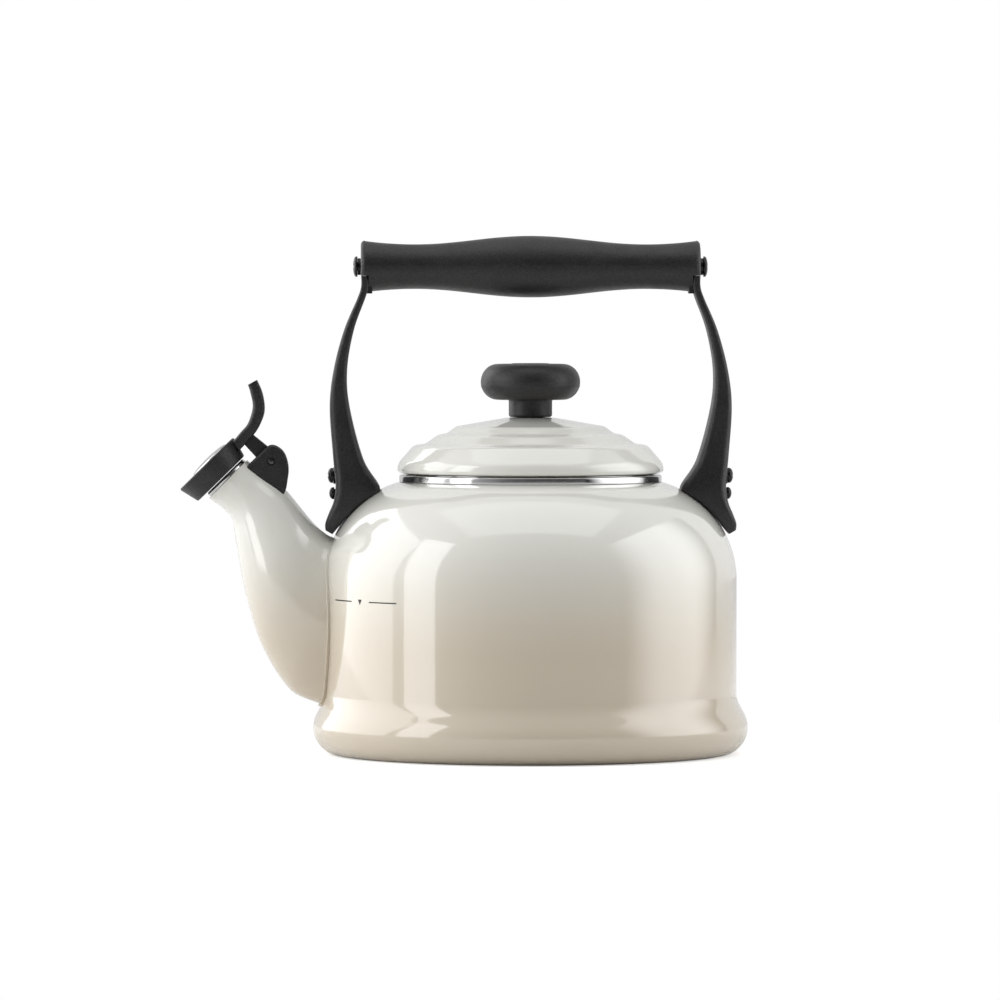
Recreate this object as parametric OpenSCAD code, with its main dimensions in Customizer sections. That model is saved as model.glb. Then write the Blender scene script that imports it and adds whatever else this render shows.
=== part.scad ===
// Stovetop whistling kettle: enamelled steel body, lift-off lid, fixed bail handle, hinged whistle.
// +Z is up, the spout points to -X, and the origin is the centre of the resting face.

/* [Body shell] */
// Outside diameter of the straight wall
wall_d = 184.2; // [160:0.2:225]
// Height of the shell from the resting face to the lid opening
shell_h = 121.4; // [108:0.2:150]
// Height at which the dome starts to curve in
shoulder_z = 78; // [66:1:86]
// How far the centre of the dome's curve lies inside the opening ring's edge
dome_inset = 12.6; // [8:0.1:20]
// How far the rolled foot stands out past the wall
flare_out = 5.3; // [3:0.1:8]
// Height at which the rolled foot is widest
flare_h = 12; // [9:0.5:14]
// Height at which the rolled foot has run out into the wall
flare_top = 27; // [22:0.5:32]
// How far the foot's rounding reaches in under the widest place
foot_round = 11.4; // [6:0.2:14]
// Thickness of the enamelled steel
sheet_t = 1.2; // [0.8:0.1:2]

/* [Base plate] */
// Width of the shell's turned-in lip under the base
lip_w = 4; // [2:0.5:6]
// Thickness of the base plate above the lip
base_t = 1.4; // [1:0.1:3]

/* [Lid opening] */
// Outside diameter of the steel opening ring
ring_d = 117.2; // [96:0.2:132]
// Height of the opening ring above the shell
ring_h = 3.2; // [2:0.1:5]
// Width of the flat top of the opening ring
ring_w = 4.2; // [3:0.1:6]
// Depth of the ring's sleeve inside the neck
ring_sleeve = 9; // [6:0.5:14]
// Thickness of the ring and the lid's collar
trim_t = 0.8; // [0.5:0.1:1.2]

/* [Lid] */
// How far the lid's rolled edge stands out past the opening ring
lid_over = 0.6; // [0:0.1:3]
// Height of the lid from its rolled edge to the knob's seat
lid_h = 25.4; // [18:0.2:34]
// Thickness of the lid's enamelled steel
lid_t = 1.0; // [0.8:0.1:1.6]
// Depth of the locating collar below the lid's edge
collar_depth = 7; // [4:0.5:12]

/* [Knob] */
// Diameter of the knob's neck
knob_neck_d = 19.4; // [14:0.2:24]
// Height of the knob's neck
knob_neck_h = 9.1; // [6:0.1:14]
// Diameter of the knob's cap
knob_d = 44.4; // [36:0.2:54]
// Thickness of the knob's cap
knob_t = 14.6; // [10:0.2:20]
// Diameter of the knob's screw
knob_screw_d = 4; // [3:0.5:5]

/* [Spout] */
// Height of the lowest point of the spout's root
root_low = 22.6; // [22:0.2:30]
// Height of the spout's root above the start of the dome
root_over = 17; // [10:0.5:22]
// Half width of the spout at its root
root_half_w = 20.5; // [16:0.5:24]
// Outside diameter of the spout's mouth
mouth_d = 21.8; // [18:0.2:26]
// Distance of the mouth's centre from the wall
mouth_out = 42.9; // [36:0.5:56]
// Height of the mouth's centre above the top of the shell
mouth_rise = 1.3; // [-4:0.1:6]
// Lean of the mouth towards the pourer's side, in degrees
mouth_lean = 44.3; // [38:0.1:50]
// Thickness of the spout's wall
spout_t = 1.2; // [0.8:0.1:2]
// Height of the steel rim above the spout's mouth
rim_h = 2; // [1.5:0.1:3]

/* [Whistle] */
// Diameter of the whistle cap's outer face
cap_d = 33.5; // [28:0.2:38]
// Diameter of the whistle cap's inner face
cap_foot_d = 28.9; // [27:0.1:34]
// Thickness of the whistle cap
cap_t = 9.5; // [8:0.1:12]
// How far the cap stands off the mouth's axis, away from the hinge
cap_offset = 2; // [0:0.1:2.5]
// Diameter of the polished whistle plate
whistle_d = 20; // [16:0.2:22]
// Diameter of the whistle holes
whistle_hole_d = 2.8; // [2:0.1:4]
// Width of the thumb lever
lever_w = 14; // [10:0.5:20]

/* [Hinge] */
// Diameter of the hinge pin
pin_d = 3; // [2:0.1:3.6]
// Distance of the hinge pin from the mouth's axis
pin_x = 19.5; // [19:0.1:22]
// Depth of the hinge pin below the mouth's plane
pin_drop = 7.7; // [6.5:0.1:9]
// Width of the hinge housing
housing_w = 15; // [13:0.2:18]
// Width of the slot between the housing's cheeks
slot_w = 7.6; // [6:0.1:9]
// Radius of the lever's knuckle
knuckle_r = 4.4; // [4.2:0.1:5]
// Diameter of the return spring's wire
wire_d = 0.6; // [0.4:0.05:0.8]

/* [Handle] */
// How far each end of the grip stops short of the arms' widest place
grip_inset = 13.9; // [12:0.1:16]
// Height of the grip's axis above the top of the shell
grip_rise = 96.1; // [88:0.5:110]
// Diameter of the grip at its middle
grip_d = 27.5; // [24:0.2:34]
// Diameter of the grip at its waists
waist_d = 19.9; // [18:0.2:24]
// Diameter of the grip at its ends
end_d = 23.4; // [22:0.2:28]
// Thickness of an arm where it enters the grip
tang_t = 3.2; // [2.6:0.1:4]
// Width of an arm at its top
arm_top_w = 19; // [14:0.5:22]
// Width of an arm at its foot
arm_foot_w = 28; // [22:0.5:34]
// How far the arms' widest place lies inside the straight wall
arm_inset = 2.5; // [1.5:0.1:4]
// Height of the upper foot screw above the top of the shell
foot_screw_rise = 2.9; // [2:0.1:4]
// Distance of the lower foot pin below the screw
foot_pin_drop = 7.9; // [7:0.1:9]
// Diameter of the handle's screws
handle_screw_d = 4; // [3:0.5:4.5]

/* [Fits] */
// Gap between pieces that are fixed face to face
seat_gap = 0.05; // [0.02:0.01:0.1]
// Radial clearance of a pin in a moving bore
run_gap = 0.05; // [0.02:0.01:0.1]
// Gap between pieces that move past each other
move_gap = 0.3; // [0.2:0.05:0.5]
// Gap between the handle's feet and the dome
foot_gap = 0.5; // [0.3:0.1:1]

/* [Hidden] */
$fn = 64;

ENAMEL = "#e6e4dc";
STEEL = "#b9bbbd";
BLACK = "#2b292c";
BRASS = "#b89a55";
RUBBER = "#8f8f8c";

// --- outline helpers ---

// A point on the smooth curve through knots k, where t counts knots.
function along(k, t) =
    let (last = len(k) - 1, i = min(floor(t), last - 1), f = t - i,
         a = k[max(i - 1, 0)], b = k[i], c = k[i + 1], d = k[min(i + 2, last)])
    (2 * b + (c - a) * f + (2 * a - 5 * b + 4 * c - d) * f * f + (3 * b - a - 3 * c + d) * f * f * f) / 2;

// The smooth curve through knots k, with a number of steps between two knots.
function smooth(k, steps) = [for (i = [0 : (len(k) - 1) * steps]) along(k, i / steps)];

// A path moved sideways by d, to the right of its direction.
function shifted(path, d) = [
    for (i = [0 : len(path) - 1])
        let (back = path[max(i - 1, 0)], on = path[min(i + 1, len(path) - 1)],
             way = (on - back) / norm(on - back))
        path[i] + d * [way.y, -way.x]
];

function reversed(path) = [for (i = [len(path) - 1 : -1 : 0]) path[i]];

// Corners [x, y, cut-back] joined by straight lines and rounded where the cut-back isn't 0.
// A cut-back never takes more than its share of a side.
function eased(corners) = [
    for (i = [0 : len(corners) - 1])
        let (b = [corners[i].x, corners[i].y],
             a = [corners[max(i - 1, 0)].x, corners[max(i - 1, 0)].y],
             c = [corners[min(i + 1, len(corners) - 1)].x, corners[min(i + 1, len(corners) - 1)].y],
             cut = min(corners[i].z, 0.48 * norm(a - b), 0.48 * norm(c - b)))
        each corners[i].z == 0 ? [b] :
            let (p = b + cut * (a - b) / norm(a - b), q = b + cut * (c - b) / norm(c - b))
            [for (f = [0 : 0.2 : 1]) (1 - f) * (1 - f) * p + 2 * f * (1 - f) * b + f * f * q]
];

// --- body shell outline ---

wall_r = wall_d / 2;
ring_r = ring_d / 2;
base_r = wall_r + flare_out - foot_round;
dome_centre = ring_r - dome_inset;
dome_a = wall_r - dome_centre;
dome_end = acos((ring_r - dome_centre) / dome_a);
dome_b = (shell_h - shoulder_z) / sin(dome_end);

// Outside radius of the body at a height.
function body_r(z) =
    z < flare_h ? base_r + foot_round * sqrt(1 - pow(1 - z / flare_h, 2)) :
    z < flare_top ? wall_r + flare_out * (1 + cos(180 * (z - flare_h) / (flare_top - flare_h))) / 2 :
    z < shoulder_z ? wall_r : dome_centre + dome_a * sqrt(1 - pow((z - shoulder_z) / dome_b, 2));

foot_line = [
    [base_r - lip_w, 0],
    for (a = [0 : 10 : 90]) [base_r + foot_round * sin(a), flare_h * (1 - cos(a))]
];
flare_steps = 8;
flare_line = [
    for (i = [1 : flare_steps])
        let (z = flare_h + i * (flare_top - flare_h) / flare_steps)
        [body_r(z), z]
];
dome_steps = 18;
dome_line = [
    for (i = [0 : dome_steps])
        let (a = i * dome_end / dome_steps)
        [dome_centre + dome_a * cos(a), shoulder_z + dome_b * sin(a)]
];
body_line = concat(foot_line, flare_line, dome_line);

// The dome as a solid, grown outwards, for cuts that follow it.
module grown_dome(grow) {
    line = shifted(dome_line, grow);
    rotate_extrude($fn = 128)
        polygon(concat([[0, line[0].y]], line, [[0, line[len(line) - 1].y]]));
}

// --- spout ---

root_high = shoulder_z + root_over;
mouth_r = mouth_d / 2;
mouth_x = -(wall_r + mouth_out);
mouth_z = shell_h + mouth_rise;
mouth_at = [mouth_x, mouth_z];
mouth_along = [cos(mouth_lean), sin(mouth_lean)];
low_start = [-body_r(root_low), root_low];
high_start = [-body_r(root_high), root_high];
low_end = mouth_at - mouth_r * mouth_along;
high_end = mouth_at + mouth_r * mouth_along;

// Shares of the way from root to mouth, across and up, for the lower and the upper edge.
low_shares = [[0, 0], [0.267, 0.072], [0.513, 0.276], [0.651, 0.507],
              [0.735, 0.739], [0.78, 0.884], [0.854, 0.942], [1, 1]];
high_shares = [[0, 0], [0.089, 0.065], [0.213, 0.181], [0.318, 0.312],
               [0.41, 0.436], [0.563, 0.632], [0.779, 0.81], [1, 1]];
width_shares = [1, 0.98, 0.91, 0.74, 0.44, 0.16, 0.01, 0];
low_knots = [for (s = low_shares) [low_start.x + s.x * (low_end - low_start).x,
                                   low_start.y + s.y * (low_end - low_start).y]];
high_knots = [for (s = high_shares) [high_start.x + s.x * (high_end - high_start).x,
                                     high_start.y + s.y * (high_end - high_start).y]];
width_knots = [for (s = width_shares) mouth_r + s * (root_half_w - mouth_r)];
spout_last = len(low_knots) - 1;
spout_sides = 36;

// One section of the spout at t, grown outwards; at the root it lies on the body.
function spout_ring(t, grow) =
    let (low = along(low_knots, t), high = along(high_knots, t), mid = (low + high) / 2,
         half = (high - low) / 2 * (1 + grow / (norm(high - low) / 2)),
         w = along(width_knots, t) + grow, pull = pow(max(1 - t, 0), 2))
    [for (i = [0 : spout_sides - 1])
        let (a = i * 360 / spout_sides, y = w * sin(a), z = mid.y + half.y * cos(a),
             x = mid.x + half.x * cos(a))
        pull == 0 ? [x, y, z] :
            let (on_body = -sqrt(pow(body_r(z) + seat_gap * 2, 2) - y * y))
            [x + pull * (on_body - x), y, z]];

// The side faces between rings that follow each other in one list of points.
function skin(rings, sides, out) = [
    for (r = [0 : rings - 2], i = [0 : sides - 1])
        let (j = (i + 1) % sides, a = r * sides + i, b = r * sides + j)
        each out ? [[a, a + sides, b + sides], [a, b + sides, b]]
                 : [[a, b + sides, a + sides], [a, b, b + sides]]
];

module spout_tube(ts) {
    rings = len(ts);
    n = spout_sides;
    outer = [for (t = ts) each spout_ring(t, 0)];
    inner = [for (t = ts) each spout_ring(t, -spout_t)];
    shift = rings * n;
    far = (rings - 1) * n;
    ends = [
        for (i = [0 : n - 1])
            let (j = (i + 1) % n)
            each [[i, j, shift + j], [i, shift + j, shift + i],
                  [far + i, shift + far + j, far + j], [far + i, shift + far + i, shift + far + j]]
    ];
    inner_faces = [for (f = skin(rings, n, false)) [f[0] + shift, f[1] + shift, f[2] + shift]];
    polyhedron(concat(outer, inner), concat(skin(rings, n, true), inner_faces, ends));
}

// The spout's outside as a solid near the mouth, grown, for cuts that follow it.
module grown_spout_end(grow) {
    ts = [4, 4.5, 5, 5.5, 6, 6.5, 7];
    n = spout_sides;
    far = (len(ts) - 1) * n;
    polyhedron([for (t = ts) each spout_ring(t, grow)],
        concat(skin(len(ts), n, true), [[for (i = [0 : n - 1]) i]], [[for (i = [n - 1 : -1 : 0]) far + i]]));
}

// Puts its children in the mouth's frame: +Z out of the mouth, +X towards the hinge.
module at_mouth() {
    translate([mouth_x, 0, mouth_z]) rotate([0, -mouth_lean, 0]) children();
}

// Puts an outline drawn in the mouth's X-Z plane to work as a plate of width w along Y.
module plate_y(w) {
    rotate([90, 0, 0]) linear_extrude(w, center = true) children();
}

module cylinder_y(r, w) {
    rotate([90, 0, 0]) cylinder(r = r, h = w, center = true);
}

// --- screws ---

// A domed screw along -Z with its head above z = 0.
module domed_screw(shank_r, shank_l, head_r, head_h) {
    rise = [for (a = [0 : 15 : 90]) [head_r * cos(a), head_h * (0.25 + 0.75 * sin(a))]];
    rotate_extrude()
        polygon(concat([[0, -shank_l], [shank_r - 0.4, -shank_l], [shank_r, 0.4 - shank_l], [shank_r, 0],
                        [head_r, 0]], rise));
}

module washer(outer_r, inner_r, t) {
    difference() {
        cylinder(r = outer_r, h = t);
        translate([0, 0, -1]) cylinder(r = inner_r, h = t + 2);
    }
}

// Puts +Z of its children along the outward X of one side, at distance x and height z.
module outward(side, x, z) {
    translate([side * x, 0, z]) rotate([0, side * 90, 0]) children();
}

// --- body ---

module body_shell() {
    inner = shifted(body_line, -sheet_t);
    opening = [for (p = spout_ring(0, -spout_t)) [p.y, p.z]];
    color(ENAMEL) difference() {
        rotate_extrude($fn = 128) polygon(concat(body_line, reversed(inner)));
        translate([-wall_r - 20, 0, 0]) rotate([90, 0, 90]) linear_extrude(60) polygon(opening);
    }
}

module base_plate() {
    under_r = base_r - lip_w - seat_gap;
    over_r = base_r - sheet_t;
    over_z = sheet_t + seat_gap;
    color(STEEL) rotate_extrude($fn = 128)
        polygon([[0, 0], [under_r, 0], [under_r, over_z], [over_r, over_z],
                 [over_r + base_t / 2, over_z + base_t], [0, over_z + base_t]]);
}

module spout() {
    color(ENAMEL) spout_tube([for (i = [0 : spout_last * 2]) i / 2]);
}

module spout_rim() {
    sleeve_r = mouth_r - spout_t - 0.5;
    sleeve_l = 1.6;
    lip_r = mouth_r + 0.4;
    color(STEEL) at_mouth() rotate_extrude()
        polygon(concat([[sleeve_r - trim_t, -sleeve_l], [sleeve_r, -sleeve_l], [sleeve_r, seat_gap]],
            eased([[lip_r - 0.2, seat_gap, 0], [lip_r, rim_h / 2, 0.4], [lip_r - 0.6, rim_h, 0.5],
                   [sleeve_r - trim_t, rim_h, 0.6], [sleeve_r - trim_t, 0, 0]])));
}

ring_z = shell_h + seat_gap;
ring_top = ring_z + ring_h;
ring_hole_r = ring_r - ring_w;

module opening_ring() {
    sleeve_low = shell_h - ring_sleeve;
    color(STEEL) rotate_extrude($fn = 128)
        polygon(concat([[ring_hole_r, sleeve_low], [ring_hole_r + trim_t, sleeve_low],
                        [ring_hole_r + trim_t, ring_z]],
            eased([[ring_r, ring_z, 0], [ring_r, ring_top, 0.7], [ring_hole_r, ring_top, 0.7],
                   [ring_hole_r, ring_z, 0]])));
}

// --- handle ---

screw_r = handle_screw_d / 2;
arm_out = wall_r - arm_inset;
grip_half = arm_out - grip_inset;
grip_z = shell_h + grip_rise;
foot_screw_z = shell_h + foot_screw_rise;
foot_pin_z = foot_screw_z - foot_pin_drop;
waist_x = grip_half * 0.68;
end_wall = 2.1;
notch_top = grip_z - 4;
pocket_top = grip_z + 5.5;
tang_w = 12;
foot_seat_x = arm_out - 2.6;
pin_seat_x = arm_out - 2;
washer_r = 3.8;
foot_washer_t = 1;
foot_head_r = 3.4;
pin_head_r = 2.7;
grip_washer_t = 1.4;
grip_head_r = 4.6;
grip_insert_r = 3.6;
grip_insert_in = 17.8;
bore_gap = 0.1;
tongue_x = arm_out - 9.6;
tongue_t = 2.5;
tongue_w = 14;
tongue_top = foot_screw_z + 4.7;
pad_t = 1.6;
pad_w = 18;

// Radius of the grip at a distance from its middle.
function grip_r(x) =
    x < waist_x ? (grip_d + waist_d) / 4 + (grip_d - waist_d) / 4 * cos(180 * x / waist_x) :
    waist_d / 2 + (end_d - waist_d) / 2 * pow((x - waist_x) / (grip_half - waist_x), 2);

// One arm's outline seen from the front, as [distance from the axis, height].
top_low = grip_z - 14;
arm_rise = top_low - foot_screw_z;
tang_out = grip_half - 0.1;
tang_in = tang_out - tang_t;
outer_side = smooth([
    [arm_out - 2.6, foot_screw_z - 3.8],
    [arm_out - 1.4, foot_screw_z + 0.12 * arm_rise],
    [arm_out, foot_screw_z + 0.39 * arm_rise],
    [arm_out - 1.8, foot_screw_z + 0.6 * arm_rise],
    [(arm_out - 1.8 + tang_out) / 2 + 1.5, foot_screw_z + 0.82 * arm_rise],
    [tang_out + 1.6, top_low + 0.2],
    [tang_out, top_low + 8]
], 4);
inner_side = smooth([
    [tang_in, top_low + 8],
    [tang_in + 1.3, top_low + 0.2],
    [(arm_out - 8 + tang_in) / 2 + 1.8, foot_screw_z + 0.82 * arm_rise],
    [arm_out - 7.8, foot_screw_z + 0.6 * arm_rise],
    [arm_out - 8.8, foot_screw_z + 0.39 * arm_rise],
    [arm_out - 15, foot_screw_z + 0.09 * arm_rise],
    [arm_out - 22.8, foot_screw_z - 6.7]
], 4);
foot_side = eased([
    [arm_out - 22.8, foot_screw_z - 14, 0],
    [arm_out - 3.4, foot_screw_z - 28, 0],
    [arm_out + 2.2, foot_screw_z - 23.4, 3],
    [arm_out + 1.4, foot_screw_z - 18, 2],
    [arm_out - 2.2, foot_screw_z - 9, 3],
    [arm_out - 2.6, foot_screw_z - 4.4, 0]
]);
arm_outline = concat(
    outer_side,
    [[tang_out, notch_top - 0.1], [grip_half - end_wall - 0.1, notch_top - 0.1],
     [grip_half - end_wall - 0.1, pocket_top - 0.1], [grip_half - end_wall - 3, pocket_top - 0.1],
     [grip_half - end_wall - 3, notch_top - 0.1], [tang_in, notch_top - 0.1]],
    inner_side, foot_side);

// One arm's outline seen from the side, as [across, height], on the half that is drawn.
arm_half = eased([
    [0, foot_screw_z - 27, 0],
    [arm_foot_w * 0.36, foot_screw_z - 26, 6],
    [arm_foot_w / 2, foot_screw_z - 12, 8],
    [arm_top_w / 2 + 1.6, foot_screw_z + 0.45 * arm_rise, 14],
    [arm_top_w / 2, notch_top - 0.1, 0],
    [tang_w / 2, notch_top - 0.1, 0],
    [tang_w / 2, pocket_top + 1, 0],
    [0, pocket_top + 1, 0]
]);

module handle_arm(side) {
    color(BLACK) mirror([side < 0 ? 1 : 0, 0, 0]) difference() {
        intersection() {
            rotate([90, 0, 0]) linear_extrude(arm_foot_w + 2, center = true) polygon(arm_outline);
            rotate([90, 0, 90]) linear_extrude(arm_out * 2)
                polygon(concat(arm_half, [for (p = reversed(arm_half)) [-p.x, p.y]]));
        }
        grown_dome(foot_gap);
        intersection() {
            grown_dome(pad_t + seat_gap * 2);
            translate([0, -pad_w / 2 - seat_gap, 0]) cube([arm_out, pad_w + seat_gap * 2, grip_z]);
        }
        translate([tongue_x - seat_gap, -tongue_w / 2 - seat_gap, 0])
            cube([tongue_t + seat_gap * 2, tongue_w + seat_gap * 2, tongue_top + seat_gap]);
        outward(1, arm_out - 30, foot_screw_z) cylinder(r = screw_r + bore_gap, h = 40);
        outward(1, arm_out - 22, foot_pin_z) cylinder(r = screw_r, h = 40);
        outward(1, grip_half - 8, grip_z) cylinder(r = screw_r + bore_gap, h = 20);
        outward(1, foot_seat_x, foot_screw_z) cylinder(r = washer_r + 0.4, h = 20);
        outward(1, pin_seat_x - seat_gap, foot_pin_z) cylinder(r = pin_head_r + 0.2, h = 20);
    }
}

module handle_lug(side) {
    color(STEEL) mirror([side < 0 ? 1 : 0, 0, 0]) difference() {
        intersection() {
            union() {
                grown_dome(pad_t);
                translate([tongue_x, -tongue_w / 2, 0]) cube([tongue_t, tongue_w, tongue_top]);
            }
            translate([arm_out - 19.6, -pad_w / 2, foot_screw_z - 22.5]) cube([16.8, pad_w, 40]);
        }
        grown_dome(seat_gap * 2);
        outward(1, tongue_x - 10, foot_screw_z) cylinder(r = screw_r + seat_gap, h = 20);
        outward(1, tongue_x - 10, foot_pin_z) cylinder(r = screw_r, h = 20);
    }
}

module foot_washer(side) {
    color(BLACK) outward(side, foot_seat_x + seat_gap, foot_screw_z) washer(washer_r, screw_r + seat_gap, foot_washer_t);
}

module foot_screw(side) {
    color(BLACK) outward(side, foot_seat_x + foot_washer_t + seat_gap * 2, foot_screw_z)
        domed_screw(screw_r, 12, foot_head_r, 2.5);
}

module foot_pin(side) {
    color(BLACK) outward(side, pin_seat_x, foot_pin_z) domed_screw(screw_r - seat_gap, 10.5, pin_head_r, 2.3);
}

module handle_grip() {
    steps = 40;
    side = [for (i = [-steps : steps]) let (x = i * (grip_half - 2) / steps) [grip_r(abs(x)), x]];
    round_end = [for (a = [15 : 15 : 75]) [grip_r(grip_half) - 2 + 2 * cos(a), grip_half - 2 + 2 * sin(a)]];
    top_end = concat(round_end, [[grip_r(grip_half) - 2, grip_half], [0, grip_half]]);
    low_end = [for (p = reversed(top_end)) [p.x, -p.y]];
    color(BLACK) difference() {
        translate([0, 0, grip_z]) rotate([0, 90, 0]) rotate_extrude($fn = 96)
            polygon(concat(low_end, side, top_end));
        for (s = [-1, 1]) mirror([s < 0 ? 1 : 0, 0, 0]) {
            translate([tang_in - 0.2, -arm_top_w / 2 - 2, notch_top - 30]) cube([20, arm_top_w + 4, 30]);
            translate([grip_half - end_wall - 3.1, -tang_w / 2 - 0.1, notch_top - 30])
                cube([3.1, tang_w + 0.2, pocket_top - notch_top + 30]);
            outward(1, grip_half - 8, grip_z) cylinder(r = screw_r + bore_gap, h = 20);
            outward(1, grip_half - grip_insert_in - 0.2, grip_z) cylinder(r = grip_insert_r + seat_gap, h = 14);
        }
    }
}

module grip_insert(side) {
    color(BRASS) outward(side, grip_half - grip_insert_in, grip_z)
        washer(grip_insert_r, screw_r + seat_gap, grip_insert_in - end_wall - 3.2);
}

module grip_washer(side) {
    color(BLACK) outward(side, grip_half + seat_gap, grip_z) washer(washer_r, screw_r + seat_gap, grip_washer_t);
}

module grip_screw(side) {
    color(BLACK) outward(side, grip_half + grip_washer_t + seat_gap * 2, grip_z)
        domed_screw(screw_r, 16, grip_head_r, 2);
}

// --- whistle hinge ---

pin_r = pin_d / 2;
pin_z = -pin_drop;
cheek_top = -1.7;
spring_gap_w = 4;
slot_floor = pin_z - knuckle_r - move_gap;
bracket_x = pin_x - 4.1;
bracket_top = pin_z - 8.2;
bracket_t = 2.4;
bracket_w = 6;
bracket_reach = bracket_x + 2.4;
housing_screw_r = 1.2;
housing_head_r = 2.2;
counterbore = 1.6;
pin_head_t = 0.5;
housing_outline = eased([
    [8, cheek_top - 3, 0], [8.6, cheek_top, 1.2], [pin_x + 5.4, cheek_top, 3.4],
    [pin_x + 7.4, pin_z - 0.4, 3.4], [pin_x + 4, pin_z - 7.5, 4], [pin_x - 4.6, pin_z - 14, 3],
    [11, pin_z - 15, 1.8], [4, pin_z - 8, 0]
]);

module hinge_housing() {
    color(BLACK) difference() {
        at_mouth() plate_y(housing_w) polygon(housing_outline);
        grown_spout_end(seat_gap * 2);
        at_mouth() {
            translate([0, -slot_w / 2, slot_floor]) cube([40, slot_w, 30]);
            translate([pin_x, 0, pin_z]) cylinder_y(pin_r + 0.02, housing_w + 2);
            for (s = [-1, 1]) translate([pin_x, s * housing_w / 2, pin_z]) cylinder_y(pin_r + 0.9, 1.6);
            translate([0, -bracket_w / 2 - seat_gap, bracket_top - bracket_t - seat_gap])
                cube([bracket_reach + seat_gap, bracket_w + seat_gap * 2, bracket_t + seat_gap * 2]);
            translate([bracket_x, 0, bracket_top - 1]) cylinder(r = housing_screw_r + 0.1, h = 12);
            translate([bracket_x, 0, slot_floor - counterbore]) cylinder(r = housing_head_r + 0.2, h = 3);
        }
    }
}

module spout_bracket() {
    color(STEEL) difference() {
        at_mouth() translate([6, -bracket_w / 2, bracket_top - bracket_t])
            cube([bracket_reach - 6, bracket_w, bracket_t]);
        grown_spout_end(seat_gap);
        at_mouth() translate([bracket_x, 0, bracket_top - 5]) cylinder(r = housing_screw_r + seat_gap, h = 9);
    }
}

module housing_screw() {
    color(STEEL) at_mouth() translate([bracket_x, 0, slot_floor - counterbore + seat_gap])
        domed_screw(housing_screw_r, 4, housing_head_r, 1.2);
}

module hinge_pin() {
    color(STEEL) at_mouth() translate([pin_x, 0, pin_z]) {
        cylinder_y(pin_r, housing_w - 2 * pin_head_t);
        for (s = [-1, 1]) translate([0, s * (housing_w / 2 - pin_head_t), 0]) cylinder_y(pin_r + 0.5, pin_head_t);
    }
}

// A torsion spring wound round the pin, with both ends tucked in.
module return_spring() {
    turns = 4;
    steps = 18;
    sides = 6;
    coil_r = pin_r + run_gap + 0.4 + wire_d / 2;
    pitch = (spring_gap_w - 0.6 - wire_d) / turns;
    rings = turns * steps + 1;
    points = [
        for (i = [0 : rings - 1], k = [0 : sides - 1])
            let (a = i * 360 / steps, b = k * 360 / sides, r = coil_r + wire_d / 2 * cos(b))
            [r * cos(a), r * sin(a), pitch * (i / steps - turns / 2) + wire_d / 2 * sin(b)]
    ];
    ends = [[for (k = [0 : sides - 1]) k], [for (k = [sides - 1 : -1 : 0]) (rings - 1) * sides + k]];
    color(STEEL) at_mouth() translate([pin_x, 0, pin_z]) rotate([90, 0, 0])
        polyhedron(points, concat(skin(rings, sides, true), ends));
}

// --- whistle flap ---

cap_low = rim_h + move_gap;
cap_top = cap_low + cap_t;
lever_low = cap_low + 3.4;
lever_high = cap_top - 1.1;
passage_r = mouth_r - 3.4;
seal_r = mouth_r - 0.2;
seat_r = whistle_d / 2;
plate_z = cap_top - 5;
rebate_d = 0.8;
seal_t = 1.75;
tongue_in = seat_r - 0.2;
lever_tongue_w = 8;

module whistle_cap() {
    outline = eased([
        [0, cap_low, 0], [cap_foot_d / 2, cap_low, 0.8], [cap_d / 2, cap_top, 1.1], [0, cap_top, 0]
    ]);
    color(BLACK) at_mouth() difference() {
        translate([-cap_offset, 0, 0]) rotate_extrude() polygon(outline);
        translate([0, 0, cap_low - 1]) cylinder(r = passage_r, h = cap_t + 2);
        translate([0, 0, cap_low - 1]) cylinder(r = seal_r + seat_gap, h = 1 + seal_t + seat_gap);
        translate([0, 0, plate_z]) cylinder(r = seat_r - 1 + seat_gap, h = 10);
        translate([0, 0, cap_top - rebate_d]) cylinder(r = seat_r + seat_gap, h = 10);
        translate([tongue_in - seat_gap, -lever_tongue_w / 2 - seat_gap, lever_low - seat_gap])
            cube([20, lever_tongue_w + seat_gap * 2, lever_high - lever_low - 1.5 + seat_gap * 2]);
    }
}

module mouth_seal() {
    color(RUBBER) at_mouth() translate([0, 0, cap_low]) washer(seal_r, passage_r + 0.2, seal_t);
}

module whistle_inner_plate() {
    color(STEEL) at_mouth() translate([0, 0, plate_z + seat_gap])
        washer(seat_r - 1, whistle_hole_d / 2, trim_t);
}

// The polished outer plate: a shallow dome with a skirt that holds the inner plate.
module whistle_outer_plate() {
    rise = 1.5;
    edge = [for (a = [0 : 15 : 75]) [seat_r * cos(a), cap_top + rise * sin(a)]];
    skirt_r = seat_r - 1;
    rebate_z = cap_top - rebate_d + seat_gap;
    low = plate_z + trim_t + seat_gap * 2;
    color(STEEL) at_mouth() difference() {
        rotate_extrude() polygon(concat(
            [[skirt_r - trim_t, low], [skirt_r, low], [skirt_r, rebate_z], [seat_r, rebate_z]],
            edge, [[0, cap_top + rise], [0, cap_top + rise - trim_t], [skirt_r - trim_t, cap_top - 0.4]]));
        cylinder(r = whistle_hole_d / 2, h = 30);
    }
}

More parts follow.
